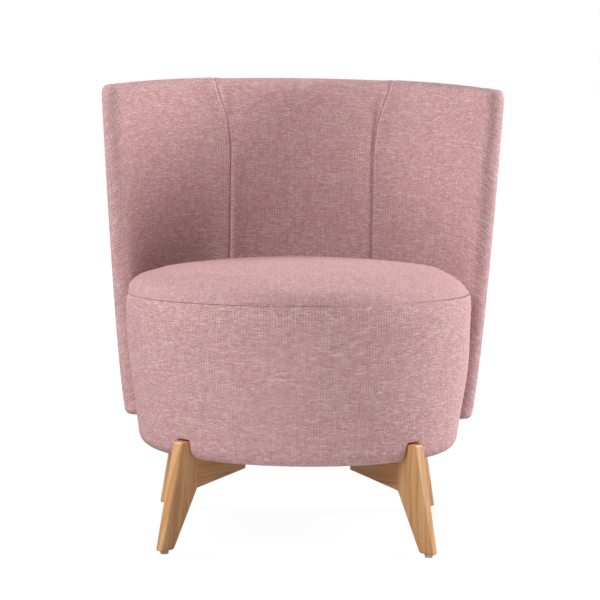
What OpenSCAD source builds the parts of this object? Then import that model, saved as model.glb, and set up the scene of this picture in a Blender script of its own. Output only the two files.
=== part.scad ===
// Round tub armchair: a tapered upholstered drum, a wrap-round padded back and four radial oak legs.
// Millimetres, +Z up, the front faces -Y. The origin is on the floor, at the centre of the outer box.

/* [Seat drum] */
// Height of the seat's crown above the floor
seat_h = 478.5; // [460:0.5:500]
// Height of the sewn ring seam
seam_h = 419.5; // [408:0.5:425]
// Largest radius of the drum
drum_r = 303; // [292:0.5:320]
// Depth of the drum's widest place below the ring seam
drum_wide_drop = 31; // [22:0.5:39]
// How much narrower the drum is where its side meets the rounded lower edge
drum_taper = 23.3; // [17:0.1:31]
// Height of the drum's underside
drum_bottom_h = 151.5; // [144:0.5:158]
// Rounding of the lower edge
drum_edge_r = 25; // [20:1:30]
// How far the side swells beyond a straight taper
drum_bulge = 4; // [0:0.5:6]
// How far the side turns in at the ring seam
seam_inset = 3; // [1:0.5:5]
// Height of the rounded shoulder above the ring seam
shoulder_h = 38; // [30:1:48]
// Width of the side cover that is turned under the base
turn_under_w = 38; // [25:1:45]

/* [Back] */
// Height of the back at its rear centre
back_h = 810.5; // [765:0.5:860]
// Height of the lower edge of the back
back_low_h = 187.5; // [184:0.5:200]
// Thickness of the padded wall
wall_t = 44; // [40:1:52]
// Clearance between the wall and the drum
back_gap = 1; // [0.5:0.5:5]
// How far the wall leans out from its lower edge to its top
back_flare = 54.5; // [45:0.5:75]
// How the lean grows with height: 1 is a straight wall, less swells it outwards
lean_power = 0.7; // [0.6:0.05:0.9]
// Angle from the rear centre to the front edge of a wing
wing_angle = 72.5; // [66:0.5:78]
// Slope of the top edge, down towards the wings
back_tilt = 6.2; // [3:0.1:8]
// Width of the centre panel between its seams, in the middle of the wall
centre_panel_w = 288; // [270:1:310]
// Height above which the inner seams turn outwards
seam_splay_h = 660; // [600:5:700]
// Angle by which they have turned, half a panel's width above that height
seam_splay_angle = 6.6; // [0:0.1:8]
// Depth of the dip along an inner seam
seam_dip = 3; // [1:0.5:4]
// Width of the dip on each side of an inner seam
seam_dip_w = 9; // [5:1:15]

/* [Legs] */
// Angle of the front legs from the front
front_leg_angle = 43; // [36:0.1:48]
// Angle of the rear legs from the rear
rear_leg_angle = 49.6; // [44:0.1:56]
// Height of the legs' tops
leg_top_h = 183.5; // [178:0.5:186]
// How far the top of a leg stands out of the drum
leg_proud = 12.5; // [8:0.5:20]
// How far the foot lies outside the top of the leg
leg_splay = 41.5; // [30:0.5:55]
// Thickness of a leg at its top
leg_t = 23; // [20:0.5:26]
// Thickness of a leg at its foot
foot_t = 15; // [13:0.5:18]
// Width of a leg at its foot
foot_w = 28.5; // [22:0.5:32]
// Rounding of a leg's long edges
leg_edge_r = 4; // [2:0.5:5]
// Rounding of a leg's inner edges, beside the arm
leg_inner_edge_r = 1.5; // [0.5:0.5:2.5]
// Rounding of a leg's ends
leg_end_r = 3; // [1:0.5:4]
// Thickness of an arm
arm_t = 16; // [15:0.5:19]
// Depth of an arm where it meets its leg
arm_depth = 47; // [42:1:55]
// Depth of an arm at its inner end
arm_end_depth = 26; // [22:1:30]
// Length of an arm from its joint with the leg to its inner end
arm_len = 115.5; // [110:0.5:135]
// Diameter of the dowels between legs and arms
dowel_d = 8; // [6:0.5:9]
// Length of these dowels
dowel_len = 50; // [40:1:54]
// Depth of the upper dowel below the top of the arm
dowel_depth = 12; // [10:1:14]
// Distance between the two dowels of a joint
dowel_spacing = 16; // [14:1:18]
// Diameter of a foot glide
glide_d = 14; // [12:0.5:15]
// Thickness of a foot glide
glide_t = 5; // [4:0.5:8]
// Bevel round a glide's underside
glide_bevel = 1; // [0.5:0.5:2]
// Diameter of a glide's nail
nail_d = 2.5; // [2:0.1:3]
// Length of a glide's nail
nail_len = 23; // [18:1:28]

/* [Frame] */
// Foam between the frame and the drum's lower side
side_pad_t = 24.4; // [21:0.1:24.5]
// Thickness of the base panel
base_t = 18; // [15:1:20]
// Thickness of the bent hoop
hoop_t = 9; // [6:1:12]
// Depth of the hoop's upper edge below the ring seam
hoop_drop = 31; // [27:0.5:41]
// Depth of the ring's upper face, which carries the webbing, below the hoop's upper edge
ring_drop = 30; // [25:0.5:44]
// Thickness of the upper ring
ring_t = 15; // [12:1:18]
// Width of the upper ring
ring_w = 56; // [50:1:60]
// Number of posts between the base and the ring
post_count = 6; // [3:1:6]
// Side of a square post
post_w = 30; // [24:1:36]
// Width of a webbing strap
web_w = 60; // [50:1:64]
// Thickness of a webbing strap
web_t = 2.5; // [2:0.5:3]
// Distance between the middles of two straps
web_spacing = 86; // [80:1:92]
// Thickness of the bent shell in the back
shell_t = 10; // [8:1:12]

/* [Covers] */
// Thickness of a cover with its lining
cover_t = 2; // [1:0.5:3]
// Thickness of the dust cover
dust_t = 1; // [0.5:0.1:1.5]
// How far the dust cover's edge lies inside the flat of the drum's underside
dust_margin = 18.7; // [15:0.1:26]
// Thickness of the strip that closes the lower edge of the back
trim_t = 1.5; // [1:0.5:2]
// Number of staples round the dust cover
staple_count = 24; // [12:1:30]
// Length of a staple
staple_len = 12; // [8:1:14]

/* [Fasteners] */
// Diameter of the bolts
bolt_d = 6; // [5:0.5:6.5]
// Width of a bolt's head across its flats
head_w = 10; // [9:0.5:10.5]
// Height of a bolt's head
head_t = 4; // [3:0.5:5]
// Diameter of a washer
washer_d = 12; // [11:0.5:12.5]
// Diameter of the wide washers in the hoop
back_washer_d = 20; // [18:1:24]
// Thickness of a washer
washer_t = 1.6; // [1:0.2:2]
// Distance from an arm's joint with the leg to its inner bolt
arm_bolt_inner = 95.5; // [90.5:0.5:100.5]
// Distance from that joint to the outer bolt
arm_bolt_outer = 52.5; // [49.5:0.5:57.5]
// Wood left above the pocket of a bolt's head
arm_bolt_grip = 13; // [10:1:14]
// Diameter of a tee nut's flange
nut_flange_d = 18; // [16:1:20]
// Thickness of a tee nut's flange
nut_flange_t = 1.5; // [1:0.1:2]
// Length of a tee nut's barrel
nut_barrel_len = 9; // [6:1:9]
// Height of the bolts through the back
back_bolt_h = 258.5; // [244:0.5:284]
// Angle of the inner back bolts from the rear centre
back_bolt_inner_angle = 12; // [10:0.5:14]
// Angle of the outer back bolts from the rear centre
back_bolt_outer_angle = 50; // [46:0.5:56]
// Diameter of the spacers between the hoop and the shell
spacer_d = 36; // [30:1:40]

/* [Hidden] */
$fn = 96;

// Clearance between pieces that lie against each other
fit_gap = 0.3;
// Clearance of a glued joint
glue_gap = 0.1;
// Clearance round a bolt, a dowel or a nail in its hole
hole_gap = 0.2;
// Clearance between a cover and the foam behind it, and between foam and the shell
pad_gap = 0.4;
core_gap = 0.8;
// Overlap of a cutting shape with what it cuts
cut = 1;

// The colours of the pieces
fabric_colour = "#b99496";
oak_colour = "#b98f5f";
beech_colour = "#d9b98c";
ply_colour = "#c8a877";
foam_colour = "#efe3b8";
steel_colour = "#9a9ea3";
black_colour = "#26262a";
glide_colour = "#b9b6b0";

function lerp(a, b, t) = a + (b - a) * t;
function arc_deg(length, radius) = length / radius * 180 / PI;

// The drum's outline
seam_r = drum_r - seam_inset;
drum_low_r = drum_r - drum_taper;
drum_wide_h = seam_h - drum_wide_drop;
crown_h = seat_h - seam_h - shoulder_h;
edge_centre_r = drum_low_r - drum_edge_r;
edge_centre_h = drum_bottom_h + drum_edge_r;
shoulder_power = 18;
side_steps = 10;
edge_steps = 8;
top_steps = 16;

// Radius of the drum's side at a height between the rounded lower edge and the seam
function drum_side_r(z) =
    z < drum_wide_h
        ? let (u = (z - edge_centre_h) / (drum_wide_h - edge_centre_h))
            lerp(drum_low_r, drum_r, u) + drum_bulge * sin(180 * u)
        : drum_r - seam_inset * pow((z - drum_wide_h) / (seam_h - drum_wide_h), 2);

// The side's outline from one height up to another, moved in by inset
function side_points(z0, z1, inset) =
    [for (i = [0:side_steps]) let (z = lerp(z0, z1, i / side_steps)) [drum_side_r(z) - inset, z]];

// The rounded lower edge, from an angle (0 is straight down) to the side, moved in by inset
function edge_points(from, inset) =
    [for (i = [0:edge_steps]) let (a = lerp(from, 90, i / edge_steps), r = drum_edge_r - inset)
        [edge_centre_r + r * sin(a), edge_centre_h - r * cos(a)]];

// The crowned top from the seam to the axis, moved in by inset
function top_points(inset) =
    [for (i = [0:top_steps]) let (w = pow(i / top_steps, 2), f = 1 - w)
        [(seam_r - inset) * f,
         seam_h + (shoulder_h - inset) * sqrt(1 - pow(f, shoulder_power)) + crown_h * (1 - f * f)]];

function reversed(list) = [for (i = [len(list) - 1:-1:0]) list[i]];

// The frame in the drum
base_bottom_h = drum_bottom_h + cover_t + fit_gap;
base_top_h = base_bottom_h + base_t;
hoop_top_h = seam_h - hoop_drop;
ring_top_h = hoop_top_h - ring_drop;
hoop_r = drum_low_r - side_pad_t;
hoop_in_r = hoop_r - hoop_t;
base_r = hoop_r - hole_gap;
turn_under_r = edge_centre_r - turn_under_w;
dust_r = edge_centre_r - dust_margin;
dust_top_h = drum_bottom_h - fit_gap;
dust_bottom_h = dust_top_h - dust_t;
ring_r = hoop_in_r - fit_gap;
post_inset = 14;
post_r = ring_r - post_inset - post_w / 2;
web_low_h = ring_top_h + fit_gap;
web_high_h = web_low_h + web_t + fit_gap;
web_top_h = web_high_h + web_t;
web_rows = [-1.5, -0.5, 0.5, 1.5];
web_margin = 8;
web_end_r = ring_r - web_margin;

// The wall of the back: a curved surface in its middle, and a thickness on both sides
wall_half = wall_t / 2;
wall_top_z = back_h - wall_half;
wall_low_z = back_low_h + trim_t + fit_gap;
function wall_share(z) = (z - back_low_h) / (wall_top_z - back_low_h);
function wall_lean(z) = back_flare * pow(max(0, wall_share(z)), lean_power);
drum_heights = [for (i = [0:side_steps]) lerp(back_low_h, seam_h, i / side_steps)];
wall_base_r = max([for (z = drum_heights) drum_side_r(z) - wall_lean(z)]) + back_gap + wall_half;
function wall_r(z) = wall_base_r + wall_lean(z);
wall_top_r = wall_r(wall_top_z);
function roll_z(a) = wall_top_z - tan(back_tilt) * wall_top_r * (1 - cos(a));
function seam_a(z) =
    let (half = centre_panel_w / 2, u = max(0, z - seam_splay_h) / half)
    asin(half / wall_r(z)) + seam_splay_angle * u * u;
wall_rows = 9;
roll_rows = 4;
row_count = wall_rows + roll_rows + 1;

// What a row of the wall is: its share of the height, and its angle round the top roll
row_power = 1.4;
function row_share(row) = pow(min(1, row / wall_rows), row_power);
function row_height(row) = lerp(wall_low_z, wall_top_z, row_share(row));
function row_roll(row, rho) =
    row <= wall_rows ? 0
        : row == wall_rows + roll_rows ? acos(fit_gap / 2 / rho)
        : 90 * (row - wall_rows) / roll_rows;

// A point of the wall at an angle from the rear, rho away from the middle; side 1 is the inside
function wall_point(a, row, rho, side) =
    let (z = lerp(wall_low_z, roll_z(a), row_share(row)),
         turn = row_roll(row, rho),
         r = wall_r(z) - side * rho * cos(turn))
    [r * sin(a), r * cos(a), z + rho * sin(turn)];

// A point on the rounded front edge of the right wing, turned from the inside (0) to the outside (180)
function edge_point(turn_round, row, rho) =
    let (z = lerp(wall_low_z, roll_z(wing_angle), row_share(row)),
         turn = row_roll(row, rho),
         r = wall_r(z) - rho * cos(turn) * cos(turn_round),
         forward = rho * cos(turn) * sin(turn_round))
    [r * sin(wing_angle) + forward * cos(wing_angle),
     r * cos(wing_angle) - forward * sin(wing_angle),
     z + rho * sin(turn)];

// The angles of a panel's columns in a row; the first and the last of the centre lie on the seams
dip_a = arc_deg(seam_dip_w, wall_base_r);
seam_gap_a = arc_deg(fit_gap / 2, wall_base_r);
centre_steps = 6;
wing_steps = 8;
edge_turns = [30, 60, 90, 120, 150, 180];
outer_steps = 30;
outer_end_a = wing_angle - arc_deg(fit_gap, wall_base_r);
function centre_angles(row) =
    let (s = seam_a(row_height(row)) - seam_gap_a)
    concat([-s], [for (i = [0:centre_steps]) lerp(dip_a - s, s - dip_a, i / centre_steps)], [s]);
function wing_angles(row) =
    let (s = seam_a(row_height(row)) + seam_gap_a)
    concat([s], [for (i = [0:wing_steps]) lerp(s + dip_a, wing_angle, i / wing_steps)]);
function dip_at(column, last) = column == 0 || column == last ? seam_dip : 0;

// The grids of points of the back's panels, rho away from the middle, with or without the seam's dip
function centre_grid(rho, dips) =
    [for (row = [0:row_count - 1]) let (angles = centre_angles(row), last = len(angles) - 1)
        [for (c = [0:last]) wall_point(angles[c], row, rho - dips * dip_at(c, last), 1)]];
function wing_grid(rho, dips) =
    [for (row = [0:row_count - 1]) let (angles = wing_angles(row))
        concat(
            [for (c = [0:len(angles) - 1]) wall_point(angles[c], row, rho - dips * dip_at(c, -1), 1)],
            [for (turn = edge_turns) edge_point(turn, row, rho)])];
function outer_grid(rho) =
    [for (row = [0:row_count - 1])
        [for (i = [0:outer_steps])
            wall_point(lerp(outer_end_a, -outer_end_a, i / outer_steps), row, rho, -1)]];

// The layers of the wall, as distances from its middle
cover_back = wall_half - cover_t;
foam_face = cover_back - pad_gap;
foam_back = shell_t / 2 + core_gap;

// The origin: the centre of the outer box in plan
axis_y = (drum_r - wall_top_r - wall_half) / 2;

// The legs
leg_inner_r = hoop_r + fit_gap;
leg_top_r = drum_side_r(leg_top_h) + leg_proud;
foot_r = leg_top_r + leg_splay;
arm_top_h = dust_bottom_h - fit_gap;
knee_h = arm_top_h - arm_depth;
arm_outer_r = leg_inner_r - glue_gap;
arm_end_r = arm_outer_r - arm_len;
glide_r = foot_r - foot_w / 2;
leg_turns = [270 - front_leg_angle, 270 + front_leg_angle, 90 - rear_leg_angle, 90 + rear_leg_angle];
leg_corner_steps = 4;
dowel_heights = [arm_top_h - dowel_depth, arm_top_h - dowel_depth - dowel_spacing];
bolt_hole_d = bolt_d + 2 * hole_gap;
notch_gap = 2;

// The fasteners
arm_bolt_radii = [arm_outer_r - arm_bolt_inner, arm_outer_r - arm_bolt_outer];
pocket_gap = 0.75;
pocket_d = washer_d + 2 * pocket_gap;
pocket_h = arm_top_h - arm_bolt_grip;
nut_wall = 1.5;
nut_barrel_d = bolt_d + 2 * nut_wall;
back_bolt_angles =
    [-back_bolt_outer_angle, -back_bolt_inner_angle, back_bolt_inner_angle, back_bolt_outer_angle];
spacer_clear = 1;
spacer_hole_d = spacer_d + 2 * spacer_clear;
nut_seat_depth = 3;
nut_end_gap = 1.5;
shell_face_r = wall_r(back_bolt_h) + shell_t / 2;
nut_seat_r = shell_face_r - nut_seat_depth;
back_washer_r = sqrt(hoop_in_r * hoop_in_r - back_washer_d * back_washer_d / 4) - glue_gap;

// Puts what is drawn round the drum's axis in its place over the origin
module placed() {
    translate([0, axis_y, 0]) children();
}

// A thin solid between two grids of points; front is the face that shows
module sheet(front, back) {
    rows = len(front);
    columns = len(front[0]);
    count = rows * columns;
    points = concat([for (row = front) each row], [for (row = back) each row]);
    faces = concat(
        [for (i = [0:rows - 2], j = [0:columns - 2]) let (p = i * columns + j)
            each [[p, p + columns, p + columns + 1], [p, p + columns + 1, p + 1]]],
        [for (i = [0:rows - 2], j = [0:columns - 2]) let (p = count + i * columns + j)
            each [[p, p + columns + 1, p + columns], [p, p + 1, p + columns + 1]]],
        [for (j = [0:columns - 2]) let (p = j, q = (rows - 1) * columns + j)
            each [[p, p + 1, p + count + 1], [p, p + count + 1, p + count],
                  [q, q + count + 1, q + 1], [q, q + count, q + count + 1]]],
        [for (i = [0:rows - 2]) let (p = i * columns, q = p + columns - 1)
            each [[p, p + count, p + count + columns], [p, p + count + columns, p + columns],
                  [q, q + count + columns, q + count], [q, q + columns, q + count + columns]]]);
    polyhedron(points, faces, convexity = 6);
}

// A solid through closed loops of points, one above the other
module loft(loops) {
    n = len(loops[0]);
    last = len(loops) - 1;
    points = [for (loop = loops) each loop];
    faces = concat(
        [[for (i = [0:n - 1]) i]],
        [[for (i = [n - 1:-1:0]) last * n + i]],
        [for (k = [0:last - 1], i = [0:n - 1]) let (j = (i + 1) % n)
            each [[k * n + i, (k + 1) * n + i, (k + 1) * n + j], [k * n + i, (k + 1) * n + j, k * n + j]]]);
    polyhedron(points, faces, convexity = 4);
}

// A leg in its own plane: X runs outwards from the drum's axis
function leg_share(z) = (z - glide_t) / (leg_top_h - glide_t);
function leg_out(z) = lerp(foot_r, leg_top_r, leg_share(z));
function leg_in(z) =
    z < knee_h
        ? lerp(foot_r - foot_w, leg_inner_r, (z - glide_t) / (knee_h - glide_t))
        : leg_inner_r;

// The rounded rectangle of a leg at a height, made smaller by inset except on its joint with the arm
function leg_section(z, inset) =
    let (half = lerp(foot_t, leg_t, leg_share(z)) / 2 - inset,
         outer = leg_out(z) - inset,
         inner = leg_in(z) + (z < knee_h ? inset : 0),
         corners = [[outer, half, 0, leg_edge_r], [inner, half, 90, leg_inner_edge_r],
                    [inner, -half, 180, leg_inner_edge_r], [outer, -half, 270, leg_edge_r]])
    [for (c = corners, i = [0:leg_corner_steps])
        let (from = c[2], r = c[3], a = from + 90 * i / leg_corner_steps)
        [c[0] + r * (cos(a) - sign(cos(from + 45))), c[1] + r * (sin(a) - sign(sin(from + 45))), z]];
leg_levels = [
    [glide_t, leg_end_r], [glide_t + 0.3 * leg_end_r, 0.3 * leg_end_r], [glide_t + leg_end_r, 0],
    [lerp(glide_t, knee_h, 0.5), 0], [knee_h, 0], [lerp(knee_h, leg_top_h, 0.5), 0],
    [leg_top_h - leg_end_r, 0], [leg_top_h - 0.3 * leg_end_r, 0.3 * leg_end_r], [leg_top_h, leg_end_r]
];

// A hole or a pin along a radius: from one radius to another, at a height
module radial_rod(from, to, z, d) {
    translate([from, 0, z]) rotate([0, 90, 0]) cylinder(d = d, h = to - from);
}

module leg(turn) {
    color(oak_colour) placed() rotate([0, 0, turn]) difference() {
        loft([for (level = leg_levels) leg_section(level[0], level[1])]);
        for (z = dowel_heights)
            radial_rod(leg_inner_r - cut, leg_inner_r + dowel_len / 2 + cut, z, dowel_d + 2 * hole_gap);
        translate([glide_r, 0, glide_t - cut]) cylinder(d = nail_d + 2 * hole_gap, h = nail_len + cut);
    }
}

module arm(turn) {
    color(oak_colour) placed() rotate([0, 0, turn]) difference() {
        rotate([90, 0, 0]) linear_extrude(arm_t, center = true)
            polygon([[arm_outer_r, arm_top_h], [arm_end_r, arm_top_h],
                     [arm_end_r, arm_top_h - arm_end_depth], [arm_outer_r, knee_h]]);
        for (z = dowel_heights)
            radial_rod(arm_outer_r - dowel_len / 2 - cut, arm_outer_r + cut, z, dowel_d + 2 * hole_gap);
        for (r = arm_bolt_radii) {
            translate([r, 0, 0]) cylinder(d = bolt_hole_d, h = arm_top_h + cut);
            translate([r, 0, 0]) cylinder(d = pocket_d, h = pocket_h);
        }
    }
}

module leg_front_left() { leg(leg_turns[0]); }
module leg_front_right() { leg(leg_turns[1]); }
module leg_rear_right() { leg(leg_turns[2]); }
module leg_rear_left() { leg(leg_turns[3]); }
module arm_front_left() { arm(leg_turns[0]); }
module arm_front_right() { arm(leg_turns[1]); }
module arm_rear_right() { arm(leg_turns[2]); }
module arm_rear_left() { arm(leg_turns[3]); }

// Draws what is at each leg
module at_legs() {
    placed() for (turn = leg_turns) rotate([0, 0, turn]) children();
}

// Draws what is at each bolt of the arms
module at_arm_bolts() {
    at_legs() for (r = arm_bolt_radii) translate([r, 0, 0]) children();
}

module leg_dowels() {
    color(beech_colour) at_legs() for (z = dowel_heights)
        radial_rod(leg_inner_r - dowel_len / 2, leg_inner_r + dowel_len / 2, z, dowel_d);
}

module foot_glides() {
    color(glide_colour) at_legs() translate([glide_r, 0, 0]) difference() {
        rotate_extrude() polygon([
            [0, 0], [glide_d / 2 - glide_bevel, 0], [glide_d / 2, glide_bevel],
            [glide_d / 2, glide_t], [0, glide_t]
        ]);
        translate([0, 0, glide_t / 2]) cylinder(d = nail_d + 2 * hole_gap, h = glide_t);
    }
}

module glide_nails() {
    color(steel_colour) at_legs() translate([glide_r, 0, glide_t / 2]) cylinder(d = nail_d, h = nail_len);
}

// A bolt along +Z: its head lies below zero, its shank above
module bolt(length) {
    translate([0, 0, -head_t]) cylinder(d = head_w / cos(30), h = head_t, $fn = 6);
    cylinder(d = bolt_d, h = length);
}

module washer(d) {
    difference() {
        cylinder(d = d, h = washer_t);
        translate([0, 0, -cut]) cylinder(d = bolt_hole_d, h = washer_t + 2 * cut);
    }
}

// A tee nut: its flange lies above zero, its barrel below
module tee_nut(barrel_len) {
    difference() {
        union() {
            cylinder(d = nut_flange_d, h = nut_flange_t);
            translate([0, 0, -barrel_len]) cylinder(d = nut_barrel_d, h = barrel_len + nut_flange_t / 2);
        }
        translate([0, 0, -barrel_len - cut])
            cylinder(d = bolt_hole_d, h = barrel_len + nut_flange_t + 2 * cut);
    }
}

module arm_bolts() {
    color(steel_colour) at_arm_bolts() translate([0, 0, pocket_h - washer_t])
        bolt(base_top_h - pocket_h + washer_t);
}

module arm_washers() {
    color(steel_colour) at_arm_bolts() translate([0, 0, pocket_h - washer_t]) washer(washer_d);
}

module base_tee_nuts() {
    color(steel_colour) at_arm_bolts() translate([0, 0, base_top_h]) tee_nut(nut_barrel_len);
}

module base_panel() {
    color(ply_colour) difference() {
        placed() translate([0, 0, base_bottom_h]) cylinder(r = base_r, h = base_t);
        at_arm_bolts() cylinder(d = bolt_hole_d, h = base_top_h + cut);
        at_arm_bolts() translate([0, 0, base_top_h - nut_barrel_len - fit_gap])
            cylinder(d = nut_barrel_d + 2 * hole_gap, h = nut_barrel_len + cut);
    }
}

// Draws what is at each bolt of the back, with X pointing outwards
module at_back_bolts() {
    placed() for (a = back_bolt_angles) rotate([0, 0, 90 - a]) children();
}

module frame_hoop() {
    color(ply_colour) difference() {
        placed() difference() {
            translate([0, 0, base_top_h + fit_gap])
                cylinder(r = hoop_r, h = hoop_top_h - base_top_h - fit_gap);
            translate([0, 0, base_top_h]) cylinder(r = hoop_in_r, h = hoop_top_h - base_top_h + cut);
        }
        at_back_bolts() radial_rod(hoop_in_r - 2 * washer_d, hoop_r + washer_d, back_bolt_h, bolt_hole_d);
    }
}

module frame_posts() {
    color(beech_colour) placed() for (i = [0:post_count - 1]) rotate([0, 0, 360 * i / post_count])
        translate([post_r - post_w / 2, -post_w / 2, base_top_h + fit_gap])
            cube([post_w, post_w, ring_top_h - ring_t - base_top_h - 2 * fit_gap]);
}

module upper_ring() {
    color(ply_colour) placed() translate([0, 0, ring_top_h - ring_t]) difference() {
        cylinder(r = ring_r, h = ring_t);
        translate([0, 0, -cut]) cylinder(r = ring_r - ring_w, h = ring_t + 2 * cut);
    }
}

// Parallel straps that end on the upper ring
module straps(z) {
    for (row = web_rows) {
        y = row * web_spacing;
        half = sqrt(web_end_r * web_end_r - pow(abs(y) + web_w / 2, 2));
        translate([-half, y - web_w / 2, z]) cube([2 * half, web_w, web_t]);
    }
}

module webbing_along() {
    color(black_colour) placed() rotate([0, 0, 90]) straps(web_low_h);
}

module webbing_across() {
    color(black_colour) placed() straps(web_high_h);
}

module seat_foam() {
    inset = cover_t + fit_gap;
    color(foam_colour) placed() rotate_extrude() polygon(concat(
        [[0, web_top_h + fit_gap], [ring_r, web_top_h + fit_gap], [ring_r, hoop_top_h + fit_gap]],
        side_points(hoop_top_h + fit_gap, seam_h, inset),
        [for (i = [1:top_steps]) top_points(inset)[i]]));
}

// The cuts for the legs through the drum's foam and cover
module leg_notches() {
    for (turn = leg_turns) rotate([0, 0, turn])
        translate([leg_inner_r - fit_gap, -leg_t / 2 - notch_gap, 0])
            cube([drum_r, leg_t + 2 * notch_gap, leg_top_h + notch_gap]);
}

// The holes for the spacers of the back
module spacer_holes(from, to) {
    for (a = back_bolt_angles) rotate([0, 0, 90 - a]) radial_rod(from, to, back_bolt_h, spacer_hole_d);
}

module drum_side_foam() {
    inset = cover_t + fit_gap;
    inner = hoop_r + fit_gap;
    from = asin(max(0, inner - edge_centre_r) / (drum_edge_r - inset));
    color(foam_colour) placed() difference() {
        rotate_extrude() polygon(concat(
            edge_points(from, inset),
            [for (p = side_points(edge_centre_h, hoop_top_h, inset)) if (p[1] > edge_centre_h) p],
            [[inner, hoop_top_h]],
            inner < edge_centre_r ? [[inner, drum_bottom_h + inset]] : []));
        leg_notches();
        spacer_holes(hoop_in_r, drum_r + cut);
    }
}

module seat_top_cover() {
    top_end = [seam_r, seam_h + fit_gap / 2];
    color(fabric_colour) placed() rotate_extrude() polygon(concat(
        [top_end],
        [for (i = [1:top_steps]) top_points(0)[i]],
        reversed([for (i = [1:top_steps]) top_points(cover_t)[i]]),
        [[seam_r - cover_t, seam_h + fit_gap / 2]]));
}

module drum_side_cover() {
    seam_low = seam_h - fit_gap / 2;
    color(fabric_colour) placed() difference() {
        rotate_extrude() polygon(concat(
            [[turn_under_r, drum_bottom_h]],
            edge_points(0, 0),
            [for (p = side_points(edge_centre_h, seam_low, 0)) if (p[1] > edge_centre_h) p],
            reversed([for (p = side_points(edge_centre_h, seam_low, cover_t)) if (p[1] > edge_centre_h) p]),
            reversed(edge_points(0, cover_t)),
            [[turn_under_r, drum_bottom_h + cover_t]]));
        leg_notches();
        spacer_holes(hoop_in_r, drum_r + cut);
    }
}

module dust_cover() {
    color(black_colour) difference() {
        placed() translate([0, 0, dust_bottom_h]) cylinder(r = dust_r, h = dust_t);
        at_arm_bolts() cylinder(d = bolt_hole_d, h = dust_top_h + cut);
    }
}

// The angle between two directions, and whether a place round the base is clear of the arms
function between(a, b) = abs((a - b + 540) % 360 - 180);
staple_margin = 8;
staple_wire = 0.7;
staple_r = dust_r - staple_margin;
staple_clear_a = arc_deg(arm_t / 2 + staple_len, staple_r);
function clear_of_arms(a) = min([for (turn = leg_turns) between(a, turn)]) > staple_clear_a;

module dust_cover_staples() {
    color(steel_colour) placed() for (i = [0:staple_count - 1]) {
        a = 360 * (i + 0.5) / staple_count;
        if (clear_of_arms(a)) rotate([0, 0, a])
            translate([staple_r, -staple_len / 2, dust_bottom_h - glue_gap - staple_wire])
                cube([2 * staple_wire, staple_len, staple_wire]);
    }
}

module back_shell() {
    levels = [for (row = [0:wall_rows]) row_height(row)];
    color(ply_colour) placed() difference() {
        intersection() {
            rotate([0, 0, 90 - wing_angle]) rotate_extrude(angle = 2 * wing_angle) polygon(concat(
                [for (z = levels) [wall_r(z) + shell_t / 2, z]],
                reversed([for (z = levels) [wall_r(z) - shell_t / 2, z]])));
            // What lies under the sloping top edge
            translate([0, wall_top_r, wall_top_z]) rotate([back_tilt, 0, 0])
                translate([-back_h, -2 * back_h, -2 * back_h]) cube([2 * back_h, 3 * back_h, 2 * back_h]);
        }
        for (a = back_bolt_angles) rotate([0, 0, 90 - a]) {
            radial_rod(hoop_r, drum_r + back_flare + wall_t, back_bolt_h, nut_barrel_d + 2 * hole_gap);
            radial_rod(nut_seat_r, drum_r + back_flare + wall_t, back_bolt_h, nut_flange_d + 2 * hole_gap);
        }
    }
}

module back_foam_centre() {
    color(foam_colour) placed() difference() {
        sheet(centre_grid(foam_face, 1), centre_grid(foam_back, 0));
        spacer_holes(hoop_in_r, wall_r(back_bolt_h));
    }
}

module wing_foam_right() {
    color(foam_colour) placed() difference() {
        sheet(wing_grid(foam_face, 1), wing_grid(foam_back, 0));
        spacer_holes(hoop_in_r, wall_r(back_bolt_h));
    }
}

module wing_foam_left() {
    mirror([1, 0, 0]) wing_foam_right();
}

module back_outer_foam() {
    color(foam_colour) placed() sheet(outer_grid(foam_face), outer_grid(foam_back));
}

module back_inner_cover_centre() {
    color(fabric_colour) placed() difference() {
        sheet(centre_grid(wall_half, 1), centre_grid(cover_back, 1));
        spacer_holes(hoop_in_r, wall_r(back_bolt_h));
    }
}

module wing_inner_cover_right() {
    color(fabric_colour) placed() difference() {
        sheet(wing_grid(wall_half, 1), wing_grid(cover_back, 1));
        spacer_holes(hoop_in_r, wall_r(back_bolt_h));
    }
}

module wing_inner_cover_left() {
    mirror([1, 0, 0]) wing_inner_cover_right();
}

module back_outer_cover() {
    color(fabric_colour) placed() sheet(outer_grid(wall_half), outer_grid(cover_back));
}

module back_bottom_trim() {
    r = wall_r(wall_low_z);
    color(black_colour) placed() translate([0, 0, back_low_h]) {
        rotate([0, 0, 90 - wing_angle]) rotate_extrude(angle = 2 * wing_angle)
            translate([r - wall_half, 0]) square([wall_t, trim_t]);
        for (side = [-1, 1]) rotate([0, 0, 90 + side * wing_angle]) translate([r, 0, 0])
            cylinder(r = wall_half, h = trim_t);
    }
}

module back_spacers() {
    reach = spacer_d / 2 + cut;
    levels = [for (row = [0:wall_rows]) row_height(row)];
    near = [for (z = levels) if (abs(z - back_bolt_h) < 2 * spacer_d) z];
    color(beech_colour) placed() difference() {
        intersection() {
            for (a = back_bolt_angles) rotate([0, 0, 90 - a])
                radial_rod(hoop_in_r, drum_r + wall_t, back_bolt_h, spacer_d);
            rotate_extrude() polygon(concat(
                [[0, near[0]]],
                [for (z = near) [wall_r(z) - shell_t / 2 - fit_gap, z]],
                [[0, near[len(near) - 1]]]));
        }
        translate([0, 0, back_bolt_h - reach]) cylinder(r = hoop_r + fit_gap, h = 2 * reach);
        for (a = back_bolt_angles) rotate([0, 0, 90 - a])
            radial_rod(hoop_in_r, drum_r + wall_t, back_bolt_h, bolt_hole_d);
    }
}

// Turns what is drawn along +Z so that it runs outwards from the drum's axis
module outwards(r) {
    translate([r, 0, back_bolt_h]) rotate([0, 90, 0]) children();
}

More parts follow.
